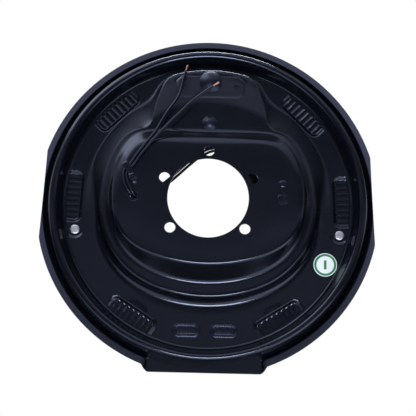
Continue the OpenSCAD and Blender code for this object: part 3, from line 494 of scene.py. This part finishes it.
for d in (90, 24.6, 155.4, -39.9, -140.1):
    punch_round(49.2 * math.cos(math.radians(d)), 49.2 * math.sin(math.radians(d)), 5.55, 1.5)
for s in (-1, 1):
    punch_round(s * 76, 0, 4.2, 1.5, 40)
    punch_round(s * 75.5, 16.1, 2.9, 1.5, 32)
    punch_round(s * PIN_X, PIN_Z, 2.3, 34.5, 24)
    for v in punch_round(s * 19.2, -131, 5.5, 34.5, 40):
        v.co.x += (7.5 if v.co.x > s * 19.2 * MM else -7.5) * MM
    for x, z, level in ((26.6, 119.3, LEDGE_TOP - PANEL_RISE), (14.8, 94.2, LEDGE_TOP)):
        punch_round(s * x, z, 2.6, level - 2.7, 32, 8)
    shear = bmesh.ops.create_cube(punch, size=1.0)["verts"]
    bmesh.ops.scale(punch, verts=shear, vec=(0.04, 0.12, 0.4))
    bmesh.ops.translate(punch, verts=shear, vec=(s * (0.171 + 0.02), 0.03, 0))
    bmesh.ops.rotate(punch, verts=shear, cent=(0, 0, 0), matrix=Matrix.Rotation(s * math.radians(-2.7), 3, "Y"))
for name, tool, operation in (("anchor_panel", panel, "UNION"), ("punches", punch, "DIFFERENCE")):
    tool_data = bpy.data.meshes.new(name)
    tool.to_mesh(tool_data)
    tool.free()
    cutter = bpy.data.objects.new(name, tool_data)
    scene.collection.objects.link(cutter)
    change = plate.modifiers.new(name, "BOOLEAN")
    change.object = cutter
    change.operation = operation
    change.solver = "MANIFOLD"
bpy.context.view_layer.update()
pressed = bpy.data.meshes.new_from_object(plate.evaluated_get(bpy.context.evaluated_depsgraph_get()))
plate.modifiers.clear()
plate.data = pressed
for name in ("anchor_panel", "punches"):
    bpy.data.objects.remove(bpy.data.objects[name])
pressed.shade_smooth()
pressed.set_sharp_from_angle(angle=math.radians(38))

# Electrocoat: a thin gloss black bake over pickled sheet, with a slight orange peel and fine handling dust. The outer
# lip is duller, and its colour is a lighter grey as painted light, strongest towards the top and fainter towards the
# bottom.
coat, tree, where = new_look("black_electrocoat")
peel = add(tree, "ShaderNodeTexNoise", {"Vector": (where, "Object"), "Scale": 1 / (2.2 * MM), "Detail": 2.0})
draw = add(tree, "ShaderNodeTexNoise", {"Vector": (where, "Object"), "Scale": 1 / (28 * MM), "Detail": 3.0})
fine_peel = add(tree, "ShaderNodeBump", {"Height": (peel, "Fac"), "Strength": 0.06, "Distance": 0.15 * MM})
pull = add(tree, "ShaderNodeBump", {"Height": (draw, "Fac"), "Strength": 0.10, "Distance": 1.2 * MM,
                                    "Normal": (fine_peel, "Normal")})
dust = add(tree, "ShaderNodeTexNoise", {"Vector": (where, "Object"), "Scale": 1 / (0.9 * MM), "Detail": 5.0,
                                        "Roughness": 0.7})
at = add(tree, "ShaderNodeSeparateXYZ", {0: (where, "Object")})
flat_at = add(tree, "ShaderNodeCombineXYZ", {0: (at, "X"), 1: (at, "Z")})
from_axis = add(tree, "ShaderNodeVectorMath", {0: (flat_at, "Vector")}, operation="LENGTH")
# The outer lip's mask, weighted towards the top: it makes the lip duller and carries the lip's painted light
outside = add(tree, "ShaderNodeMapRange", {"Value": (from_axis, "Value"), "From Min": 0.1714, "From Max": 0.1718})
above_flap = add(tree, "ShaderNodeMapRange", {"Value": (at, "Y"), "From Min": 0.0352, "From Max": 0.0346})
dull_and_painted_light_towards_top = add(tree, "ShaderNodeMapRange", {"Value": (at, "Z"), "From Min": -0.14, "From Max": 0.04, "To Min": 0.3})
on_lip = add(tree, "ShaderNodeMath", {0: (outside, "Result"), 1: (above_flap, "Result")}, operation="MULTIPLY")
lip = add(tree, "ShaderNodeMath", {0: (on_lip, "Value"), 1: (dull_and_painted_light_towards_top, "Result")}, operation="MULTIPLY")
haze = add(tree, "ShaderNodeMapRange", {"Value": (draw, "Fac"), "From Min": 0.3, "From Max": 0.75, "To Min": 0.13,
                                        "To Max": 0.21})
haze_lip = add(tree, "ShaderNodeMix", {"Factor": (lip, "Value"), 2: (haze, "Result"), 3: 0.6})
# The deeply drawn wall of the second step is duller, because the stretched sheet under the coat is coarser
wall_in = add(tree, "ShaderNodeMapRange", {"Value": (from_axis, "Value"), "From Min": 0.101, "From Max": 0.108})
wall_out = add(tree, "ShaderNodeMapRange", {"Value": (from_axis, "Value"), "From Min": 0.131, "From Max": 0.126})
wall_up = add(tree, "ShaderNodeMapRange", {"Value": (at, "Z"), "From Min": -0.02, "From Max": 0.03})
wall_ring = add(tree, "ShaderNodeMath", {0: (wall_in, "Result"), 1: (wall_out, "Result")}, operation="MULTIPLY")
drawn = add(tree, "ShaderNodeMath", {0: (wall_ring, "Value"), 1: (wall_up, "Result")}, operation="MULTIPLY")
haze_all = add(tree, "ShaderNodeMix", {"Factor": (drawn, "Value"), 2: (haze_lip, 0), 3: 0.55})
specks = add(tree, "ShaderNodeMapRange", {"Value": (dust, "Fac"), "From Min": 0.66, "From Max": 0.8})
tint = add(tree, "ShaderNodeMix", {"Factor": (specks, "Result"), 6: colour("#090A10"), 7: colour("#151823")},
           data_type="RGBA")
# Painted light: the outer lip's colour is a lighter grey, strongest towards the top
dust_and_painted_lip_light = add(tree, "ShaderNodeMix", {"Factor": (lip, "Value"), 6: (tint, 2), 7: colour("#31313D")}, data_type="RGBA")
skin = add(tree, "ShaderNodeBsdfPrincipled", {"Base Color": (dust_and_painted_lip_light, 2), "Roughness": (haze_all, 0),
                                              "IOR": 1.55, "Specular Tint": colour("#E2E8FF"),
                                              "Normal": (pull, "Normal")})
add(tree, "ShaderNodeOutputMaterial", {"Surface": (skin, "BSDF")})
pressed.materials.clear()
pressed.materials.append(coat)
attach(plate, "plate")
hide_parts("backing_plate")
print("plate faces", len(pressed.polygons))

# ---- The anchor post and the pivot stud ----
# Turned steel posts, riveted into the plate from behind, so their domed heads show on the axle side. The heads are
# coated with the plate; the shanks that carry the shoes and the lever are left bright.


def soften(points, r, closed=False):
    """An outline with its corners rounded to about the radius r."""
    out = []
    for i, point in enumerate(points):
        p = Vector(point)
        if not closed and i in (0, len(points) - 1):
            out.append(p)
            continue
        a, b = Vector(points[i - 1]) - p, Vector(points[(i + 1) % len(points)]) - p
        u, v = p + a.normalized() * min(r, a.length * 0.45), p + b.normalized() * min(r, b.length * 0.45)
        out += [u, u * 0.25 + p * 0.5 + v * 0.25, v]
    return out


def turned(shape, profile, x, z, closed=False, steps=64):
    """Turns a profile of (radius, depth) points about the line through x, z that runs along the depth."""
    verts = [shape.verts.new(Vector((x + p[0], p[1], z)) * MM) for p in profile]
    pairs = list(zip(verts, verts[1:])) + ([(verts[-1], verts[0])] if closed else [])
    bmesh.ops.spin(shape, geom=verts + [shape.edges.new(pair) for pair in pairs], axis=(0, 1, 0),
                   cent=(x * MM, 0, z * MM), angle=math.tau, steps=steps, use_merge=True)


def as_piece(name, shape, look, body, slot, *replaced, smooth=35):
    """A finished bmesh as a piece of the brake, with its finish, its body and the node that it stands for."""
    bmesh.ops.remove_doubles(shape, verts=shape.verts, dist=2e-6)
    bmesh.ops.recalc_face_normals(shape, faces=shape.faces)
    data = bpy.data.meshes.new(name)
    shape.to_mesh(data)
    shape.free()
    piece = bpy.data.objects.new(name, data)
    scene.collection.objects.link(piece)
    data.shade_smooth()
    data.set_sharp_from_angle(angle=math.radians(smooth))
    data.materials.append(look)
    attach(piece, body)
    if replaced:
        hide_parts(*replaced)
    return piece


def worked_metal(name, dark, light, rough, grain, dent=0.05, metallic=1.0):
    """A plain metal surface: two tones and a roughness that wander with a grain in millimetres, and a fine bump."""
    look, tree, where = new_look(name)
    blotch = add(tree, "ShaderNodeTexNoise", {"Vector": (where, "Object"), "Scale": 1 / (grain * MM), "Detail": 5.0,
                                              "Roughness": 0.6})
    tone = add(tree, "ShaderNodeMix", {"Factor": (blotch, "Fac"), 6: colour(dark), 7: colour(light)}, data_type="RGBA")
    wear = add(tree, "ShaderNodeMapRange", {"Value": (blotch, "Fac"), "From Min": 0.3, "From Max": 0.7,
                                            "To Min": rough - 0.07, "To Max": rough + 0.07})
    grit = add(tree, "ShaderNodeTexNoise", {"Vector": (where, "Object"), "Scale": 1 / (0.3 * MM), "Detail": 3.0})
    bump = add(tree, "ShaderNodeBump", {"Height": (grit, "Fac"), "Strength": 0.25, "Distance": dent * MM})
    skin = add(tree, "ShaderNodeBsdfPrincipled", {"Base Color": (tone, 2), "Metallic": metallic,
                                                  "Roughness": (wear, "Result"), "Normal": (bump, "Normal")})
    add(tree, "ShaderNodeOutputMaterial", {"Surface": (skin, "BSDF")})
    return look


# A forged head under the coat, which fills its pores: duller than the sheet. The turned shank has fine tool rings.
post_look, tree, where = new_look("coated_head_turned_shank")
pores = add(tree, "ShaderNodeTexNoise", {"Vector": (where, "Object"), "Scale": 1 / (1.4 * MM), "Detail": 4.0})
dimples = add(tree, "ShaderNodeBump", {"Height": (pores, "Fac"), "Strength": 0.3, "Distance": 0.12 * MM})
head = add(tree, "ShaderNodeBsdfPrincipled", {"Base Color": colour("#0C0D14"), "Roughness": 0.36, "IOR": 1.55,
                                              "Specular Tint": colour("#D4DCFF"),
                                              "Normal": (dimples, "Normal")})
rings = add(tree, "ShaderNodeTexWave", {"Vector": (where, "Object"), "Scale": 1 / (1.2 * MM) / 6.283, "Distortion": 0.6},
            bands_direction="Y")
tooled = add(tree, "ShaderNodeBump", {"Height": (rings, "Fac"), "Strength": 0.2, "Distance": 0.06 * MM})
shank = add(tree, "ShaderNodeBsdfPrincipled", {"Base Color": colour("#A6A7A8"), "Metallic": 1.0, "Roughness": 0.3,
                                               "Normal": (tooled, "Normal")})
at = add(tree, "ShaderNodeSeparateXYZ", {0: (where, "Object")})
past_sheet = add(tree, "ShaderNodeMapRange", {"Value": (at, "Y"), "From Min": 0.0115, "From Max": 0.0125})
both = add(tree, "ShaderNodeMixShader", {0: (past_sheet, "Result"), 1: (head, "BSDF"), 2: (shank, "BSDF")})
add(tree, "ShaderNodeOutputMaterial", {"Surface": (both, "Shader")})


def domed_head(r, h, under):
    """The profile of a domed head from its crown to its edge, with the edge rounded over."""
    dome = (r * r + h * h) / (2 * h)
    full = math.asin(r / dome)
    crown = [(dome * math.sin(full * t / 10), under - h + dome * (1 - math.cos(full * t / 10))) for t in range(10)]
    return crown + [(r - 0.25, under - 0.55), (r, under - 0.2), (r - 0.1, under)]


ANCHOR_Z, STUD_Z = 124.9, 80.8
shape = bmesh.new()
turned(shape, domed_head(11.7, 5.5, 6.5) + soften([(9.5, 6.5), (9.5, 11.1), (11.4, 11.1), (11.4, 61.6), (9.5, 61.6),
                                                   (9.5, 81), (8.5, 82.5), (0, 82.5)], 0.4), 0, ANCHOR_Z)
as_piece("anchor_post_turned", shape, post_look, "plate", "black_steel", "anchor_post")
shape = bmesh.new()
turned(shape, domed_head(7.9, 4, 8) + soften([(6.5, 8), (6.5, 11.1), (7.4, 11.1), (7.4, 61.9), (6.5, 61.9), (6.5, 69.4),
                                              (5.5, 69.4), (5.5, 70.9), (6.5, 70.9), (6.5, 72.4), (5.5, 73.4),
                                              (0, 73.4)], 0.25), 0, STUD_Z)
as_piece("pivot_stud_turned", shape, post_look, "plate", "black_steel", "pivot_stud")

# ---- Washers and spring clips on the posts ----
# Punched washers, zinc plated, hold the shoe webs and the lever on their posts. Open clips of spring steel snap into
# grooves and hold the lever and the magnet.
zinc = worked_metal("bright_zinc_plate", "#A9ABAE", "#D3D4D6", 0.34, 3.0, 0.03)
blued = worked_metal("blued_spring_steel", "#3A3B40", "#5A5A60", 0.38, 2.0, 0.03)
for name, z, r, hole, level in (("anchor_washer", ANCHOR_Z, 17, 9.6, 67.4), ("stud_washer", STUD_Z, 11, 6.6, 67.5)):
    shape = bmesh.new()
    turned(shape, soften([(hole, level), (r, level), (r, level + 1.6), (hole, level + 1.6)], 0.35, True), 0, z, True)
    as_piece(name + "_punched", shape, zinc, "plate", "zinc", name)


def softened(name, width, angle=30):
    """A copy of a node's solid with its flat faces joined and its edges broken by a width in millimetres."""
    shape = bmesh.new()
    shape.from_mesh(nodes[name].data)
    bmesh.ops.remove_doubles(shape, verts=shape.verts, dist=1e-6)
    bmesh.ops.dissolve_limit(shape, angle_limit=math.radians(1), verts=shape.verts, edges=shape.edges)
    sharp = [e for e in shape.edges if len(e.link_faces) == 2 and e.calc_face_angle(0) > math.radians(angle)]
    bmesh.ops.bevel(shape, geom=sharp, offset=width * MM, offset_type="OFFSET", affect="EDGES", segments=2,
                    profile=0.5, material=-1, clamp_overlap=True)
    return shape


for name, body in (("stud_clip", "plate"), ("magnet_clip", "lever")):
    as_piece(name + "_sprung", softened(name, 0.15), blued, body, "spring_steel", name)

# ---- The lever, and the post that carries the magnet ----
# The lever is cut from 5 mm plate and left in its mill scale, dark grey. Its short nose pushes the primary shoe, and its
# long arm ends in a turned post.
scale_steel = worked_metal("mill_scaled_steel", "#4A4B4E", "#6B6B6C", 0.48, 6.0, 0.06)
turned_steel = worked_metal("turned_steel", "#8E9092", "#B4B5B6", 0.3, 4.0, 0.03)
as_piece("lever_arm_cut", softened("lever_arm", 0.5), scale_steel, "lever", "bare_steel", "lever_arm")
as_piece("magnet_post_turned", softened("magnet_post", 0.25), turned_steel, "lever", "bare_steel", "magnet_post")

# ---- The magnet ----
# A drawn steel case, painted black, round an iron core and a wound coil. A ring of moulded facing closes it and rubs on
# the drum with the core and the rim of the case.
case_paint = worked_metal("black_case_paint", "#17181B", "#222327", 0.45, 5.0, 0.08, 0.0)
iron = worked_metal("ground_iron", "#77787A", "#97989A", 0.32, 8.0, 0.03)
friction, tree, where = new_look("moulded_friction_facing")
grain = add(tree, "ShaderNodeTexNoise", {"Vector": (where, "Object"), "Scale": 1 / (1.1 * MM), "Detail": 6.0,
                                         "Roughness": 0.7})
chips = add(tree, "ShaderNodeTexVoronoi", {"Vector": (where, "Object"), "Scale": 1 / (1.6 * MM)})
brassy = add(tree, "ShaderNodeMapRange", {"Value": (chips, "Distance"), "From Min": 0.16, "From Max": 0.1})
body_tone = add(tree, "ShaderNodeMix", {"Factor": (grain, "Fac"), 6: colour("#2C2826"), 7: colour("#57504A")},
                data_type="RGBA")
tone = add(tree, "ShaderNodeMix", {"Factor": (brassy, "Result"), 6: (body_tone, 2), 7: colour("#8A7350")},
           data_type="RGBA")
bump = add(tree, "ShaderNodeBump", {"Height": (grain, "Fac"), "Strength": 0.5, "Distance": 0.2 * MM})
skin = add(tree, "ShaderNodeBsdfPrincipled", {"Base Color": (tone, 2), "Roughness": 0.85, "IOR": 1.5,
                                              "Normal": (bump, "Normal")})
add(tree, "ShaderNodeOutputMaterial", {"Surface": (skin, "BSDF")})

# Enamelled copper wire: layers of turns, each 0.6 mm, that show as fine rings; its colour is darker in the grooves
# between the turns as painted shade.
winding, tree, where = new_look("enamelled_copper_winding")
turns = add(tree, "ShaderNodeTexWave", {"Vector": (where, "Object"), "Scale": 1 / (0.6 * MM) / 6.283}, bands_direction="Y")
laid = add(tree, "ShaderNodeBump", {"Height": (turns, "Fac"), "Strength": 0.8, "Distance": 0.3 * MM})
# Painted shade: the copper is darker in the grooves between the turns and lighter on their crests
turns_with_painted_groove_shade = add(tree, "ShaderNodeMix", {"Factor": (turns, "Fac"), 6: colour("#6E3418"), 7: colour("#B5673A")},
           data_type="RGBA")
skin = add(tree, "ShaderNodeBsdfPrincipled", {"Base Color": (turns_with_painted_groove_shade, 2), "Metallic": 1.0, "Roughness": 0.3,
                                              "Coat Weight": 0.6, "Normal": (laid, "Normal")})
add(tree, "ShaderNodeOutputMaterial", {"Surface": (skin, "BSDF")})
as_piece("magnet_case_drawn", softened("magnet_case", 0.8), case_paint, "magnet", "black_steel", "magnet_case")
as_piece("magnet_core_ground", softened("magnet_core", 0.3), iron, "magnet", "bare_steel", "magnet_core")
as_piece("magnet_coil_wound", softened("magnet_coil", 0.4), winding, "magnet", "copper", "magnet_coil")
as_piece("magnet_facing_moulded", softened("magnet_facing", 0.3), friction, "magnet", "friction", "magnet_facing")

# ---- The shoes and their linings ----
# Each shoe is a curved table welded to a crescent web, coated black. Its lining is moulded friction material, bonded on
# and ground round; the primary one is shorter.
shoe_coat = worked_metal("black_shoe_coat", "#101116", "#17181E", 0.3, 9.0, 0.08, 0.0)
for side in ("primary", "secondary"):
    as_piece(side + "_shoe_welded", softened(side + "_shoe", 0.5), shoe_coat, side, "black_coat", side + "_shoe")
    as_piece(side + "_lining_bonded", softened(side + "_lining", 0.6), friction, side, "friction", side + "_lining")

# ---- The springs ----
# Wound from hard-drawn round wire: two return springs from the anchor to the shoes, one across the adjuster, two short
# ones that hold the shoes to the plate, and a cone that presses the magnet to the drum.
drawn_wire = worked_metal("drawn_spring_wire", "#6F7176", "#9A9CA0", 0.33, 5.0, 0.02)
WEB_BACK, WEB_FRONT = 62.3, 67.1


def coil_points(start, along, across, radius, end_radius, length, turns, ease_in, per_turn=12):
    """Points of a helix from start: its first and last parts grow out of the axis over ease_in turns."""
    other = along.cross(across)
    count = round(turns * per_turn)
    points = []
    for i in range(count + 1):
        from_end = min(i, count - i) / per_turn
        r = mix(radius, end_radius, i / count) * (ease(from_end / ease_in) if ease_in else 1)
        turn = math.tau * i / per_turn
        points.append(start + along * (length * i / count) + (across * math.cos(turn) + other * math.sin(turn)) * r)
    return points


def spring(name, points, wire, body, node):
    piece = swept_wire(name, [p * MM for p in points], wire * MM, 8, 3)
    piece.data.materials.append(drawn_wire)
    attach(piece, body)
    if node:
        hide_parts(node)
    return piece


depth_way = Vector((0, 1, 0))
for side, s, level in (("primary", 1, 73.2), ("secondary", -1, 75.7)):
    post, hook = Vector((0, level, ANCHOR_Z)), Vector((s * 60, level, 102))
    along = (hook - post).normalized()
    across = along.cross(depth_way)
    loop = [post + (along * math.cos(t) + across * math.sin(t)) * 11
            for t in (math.radians(d) for d in range(20, 351, 30))]
    reach = (hook - post).length
    pull = coil_points(post + along * 16, along, depth_way, 4.6, 4.6, reach - 16 - 6, 13, 0.5)
    end = [hook - along * 1.6, hook - along * 0.4 - depth_way * 1.0, Vector((hook.x, WEB_BACK - 2, hook.z))]
    spring(f"return_spring_{side}", loop + [post + along * 13.2] + pull + end, 1.05, "plate", f"retract_spring_{side}")

left, right = Vector((-45, 68.3, -109.7)), Vector((45, 68.3, -109.7))
along = Vector((1, 0, 0))
wound = coil_points(left + along * 24, along, depth_way, 3.6, 3.6, 42, 24, 0.5)
spring("cross_spring", [Vector((-45, WEB_BACK - 2, -109.7)), left - depth_way * 1.0 + along * 0.4, left + along * 1.6]
       + wound + [right - along * 1.6, right - depth_way * 1.0 - along * 0.4, Vector((45, WEB_BACK - 2, -109.7))],
       0.86, "plate", "adjuster_spring")
across = Vector((1, 0, 0))
hold = None
for s in (-1, 1):
    points = coil_points(Vector((s * PIN_X, 68.3, PIN_Z)), depth_way, across, 4.6, 4.6, 7, 3.5, 0)
    one = swept_wire(f"hold_down_{s}", [p * MM for p in points], 0.86 * MM, 8, 3)
    if hold is None:
        hold = one
    else:
        join_in(hold, one)
hold.name = "hold_down_springs_wound"
hold.data.materials.append(drawn_wire)
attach(hold, "plate")
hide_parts("hold_down_springs")
cone = spring("magnet_cone_spring", coil_points(Vector((80, 68.65, -30)), depth_way, across, 13, 9, 3.2, 2.5, 0), 1.05,
              "lever", "magnet_spring")
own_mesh(cone)

# ---- The hold-down pins and their cups ----
# A headed pin passes through the plate and the shoe's web; a cup pressed down on the spring is turned on its flattened
# end. All are zinc plated, so the two bright heads show on the axle side.
pin_zinc = worked_metal("bright_zinc_pin", "#C9CBCD", "#EDEEEE", 0.42, 1.2, 0.06)
shape = bmesh.new()
for s in (-1, 1):
    turned(shape, [(0, 32.55), (3.4, 32.6)] + soften([(4.3, 32.75), (5, 33.3), (5, 34.19), (2, 34.19), (2, 80.6),
                                                       (0, 80.6)], 0.3), s * PIN_X, PIN_Z, steps=40)
    flat = bmesh.ops.create_cube(shape, size=1.0)["verts"]
    bmesh.ops.scale(shape, verts=flat, vec=(8 * MM, 1.8 * MM, 2.4 * MM))
    bmesh.ops.translate(shape, verts=flat, vec=Vector((s * PIN_X, 78.6, PIN_Z)) * MM)
    flat_edges = {e for v in flat for e in v.link_edges}
    bmesh.ops.bevel(shape, geom=list(flat_edges), offset=0.5 * MM, segments=2, affect="EDGES", profile=0.5, material=-1)
as_piece("hold_down_pins_headed", shape, pin_zinc, "plate", "zinc", "hold_down_pins")
yellow_zinc = worked_metal("yellow_passivated_zinc", "#9C8F62", "#C4B88C", 0.36, 2.5, 0.03)
shape = bmesh.new()
for s in (-1, 1):
    turned(shape, soften([(2.3, 76.4), (5.6, 76.4), (5.6, 73.9), (6.4, 73.9), (6.4, 77.4), (2.3, 77.4)], 0.35, True),
           s * PIN_X, PIN_Z, True, 48)
as_piece("hold_down_cups_pressed", shape, yellow_zinc, "plate", "zinc", "hold_down_cups")

# ---- The adjuster ----
# A long nut, a screw with a star wheel on it and a button make a strut between the shoes' lower ends. They are zinc
# plated; a screwdriver through the slot in the plate turns the wheel.
for name, body, width in (("adjuster_nut", "plate", 0.4), ("adjuster_button", "plate", 0.4), ("star_wheel", "star", 0.3)):
    as_piece(name + "_machined", softened(name, width), yellow_zinc, body, "zinc", name)
thread = coil_points(Vector((8.4, 64.7, -131)), Vector((1, 0, 0)), Vector((0, 0, 1)), 4.95, 4.95, 7.6, 5, 0)
ridge = swept_wire("screw_thread", [p * MM for p in thread], 0.42 * MM, 8, 3)
ridge.data.materials.append(yellow_zinc)
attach(ridge, "star")

# ---- The rubber plugs and grommets ----
# Moulded black rubber: long plugs close the two adjuster slots, round grommets line the lead holes, and a small plug
# fills the spare hole of the lead clip.
rubber, tree, where = new_look("moulded_black_rubber")
bloom = add(tree, "ShaderNodeTexNoise", {"Vector": (where, "Object"), "Scale": 1 / (3 * MM), "Detail": 5.0})
tone = add(tree, "ShaderNodeMix", {"Factor": (bloom, "Fac"), 6: colour("#06070B"), 7: colour("#0E1017")},
           data_type="RGBA")
sheen = add(tree, "ShaderNodeMapRange", {"Value": (bloom, "Fac"), "To Min": 0.22, "To Max": 0.34})
bump = add(tree, "ShaderNodeBump", {"Height": (bloom, "Fac"), "Strength": 0.2, "Distance": 0.15 * MM})
skin = add(tree, "ShaderNodeBsdfPrincipled", {"Base Color": (tone, 2), "Roughness": (sheen, "Result"), "IOR": 1.52,
                                              "Specular Tint": colour("#D4DCFF"),
                                              "Normal": (bump, "Normal")})
add(tree, "ShaderNodeOutputMaterial", {"Surface": (skin, "BSDF")})
SLOT_X, SLOT_Z, SLOT_HALF = 19.2, -131.0, 7.5
shape = bmesh.new()
for s in (-1, 1):
    before = set(shape.verts)
    turned(shape, [(0, 31.0), (1.6, 31.0)] + soften([(2.4, 31.1), (3.0, 32.1), (4.6, 32.1), (5.3, 31.5), (7.1, 31.8),
                                                      (7.1, 33), (5.2, 33), (5.2, 37.6), (0, 37.6)], 0.45),
           s * SLOT_X, SLOT_Z, steps=48)
    for v in set(shape.verts) - before:
        v.co.x += (SLOT_HALF if v.co.x > (s * SLOT_X + 0.001) * MM else -SLOT_HALF) * MM
as_piece("slot_plugs_moulded", shape, rubber, "plate", "black_rubber", "slot_plugs")
as_piece("lead_grommets_moulded", softened("lead_grommets", 0.2), rubber, "plate", "black_rubber", "lead_grommets")
shape = bmesh.new()
turned(shape, [(0, -1.1), (1.4, -1.05)] + soften([(2.5, -0.9), (3.9, -0.3), (3.9, -0.01), (2.8, -0.01), (2.8, 3.01),
                                                   (3.5, 3.01), (2.9, 4.2), (0, 4.2)], 0.25), 75.5, 16.1, steps=40)
as_piece("clip_hole_plug_moulded", shape, rubber, "plate", "black_rubber", "clip_hole_plug")

# ---- The lead clip and its rivet ----
# A strap of thin steel folded over both leads and riveted to the platform, coated black with it.
as_piece("wire_clip_folded", softened("wire_clip", 0.25), coat, "plate", "black_steel", "wire_clip")
shape = bmesh.new()
ground = -1.2
turned(shape, [(0, ground - 1.4), (1.1, ground - 1.36)] + soften([(2, ground - 1.2), (3.4, ground - 0.6),
                                                                   (4, ground - 0.01), (2.9, ground - 0.01),
                                                                   (2.9, 3.01), (4, 3.01), (3, 4.5), (0, 4.5)], 0.25),
       -75.5, 16.1, steps=40)
as_piece("clip_rivet_set", shape, post_look, "plate", "black_steel", "clip_rivet")

# ---- The label ----
# A round paper label on the ring, printed with a green border and a plain mark, and glued on after coating.
LABEL_X, LABEL_Z, LABEL_R = 121.8, -60.3, 12.1
label_look, tree, where = new_look("printed_paper_label")
centred = add(tree, "ShaderNodeMapping", {"Vector": (where, "Object"),
                                          "Location": (-LABEL_X * MM, 0, -LABEL_Z * MM)})
at = add(tree, "ShaderNodeSeparateXYZ", {0: (centred, "Vector")})
flat_at = add(tree, "ShaderNodeCombineXYZ", {0: (at, "X"), 1: (at, "Z")})
out = add(tree, "ShaderNodeVectorMath", {0: (flat_at, "Vector")}, operation="LENGTH")
inner = add(tree, "ShaderNodeMapRange", {"Value": (out, "Value"), "From Min": 8.9 * MM, "From Max": 9.2 * MM})
outer = add(tree, "ShaderNodeMapRange", {"Value": (out, "Value"), "From Min": 11.5 * MM, "From Max": 11.2 * MM})
ring = add(tree, "ShaderNodeMath", {0: (inner, "Result"), 1: (outer, "Result")}, operation="MULTIPLY")
wide = add(tree, "ShaderNodeMath", {0: (at, "X")}, operation="ABSOLUTE")
tall = add(tree, "ShaderNodeMath", {0: (at, "Z")}, operation="ABSOLUTE")
in_wide = add(tree, "ShaderNodeMapRange", {"Value": (wide, "Value"), "From Min": 1.5 * MM, "From Max": 1.2 * MM})
in_tall = add(tree, "ShaderNodeMapRange", {"Value": (tall, "Value"), "From Min": 4.8 * MM, "From Max": 4.5 * MM})
bar = add(tree, "ShaderNodeMath", {0: (in_wide, "Result"), 1: (in_tall, "Result")}, operation="MULTIPLY")
inked = add(tree, "ShaderNodeMath", {0: (ring, "Value"), 1: (bar, "Value")}, operation="MAXIMUM")
fibre = add(tree, "ShaderNodeTexNoise", {"Vector": (where, "Object"), "Scale": 1 / (0.5 * MM), "Detail": 4.0})
paper_tone = add(tree, "ShaderNodeMix", {"Factor": (fibre, "Fac"), 6: colour("#D6DAD4"), 7: colour("#F0F2EC")},
                 data_type="RGBA")
printed = add(tree, "ShaderNodeMix", {"Factor": (inked, "Value"), 6: (paper_tone, 2), 7: colour("#2D784B")},
              data_type="RGBA")
bump = add(tree, "ShaderNodeBump", {"Height": (fibre, "Fac"), "Strength": 0.1, "Distance": 0.05 * MM})
skin = add(tree, "ShaderNodeBsdfPrincipled", {"Base Color": (printed, 2), "Roughness": 0.5, "IOR": 1.45,
                                              "Normal": (bump, "Normal")})
add(tree, "ShaderNodeOutputMaterial", {"Surface": (skin, "BSDF")})
shape = bmesh.new()
turned(shape, [(0, 32.7), (LABEL_R - 0.2, 32.7), (LABEL_R, 32.78), (LABEL_R, 32.99), (0, 32.99)], LABEL_X, LABEL_Z)
as_piece("round_label", shape, label_look, "plate", "label", "label_disc")
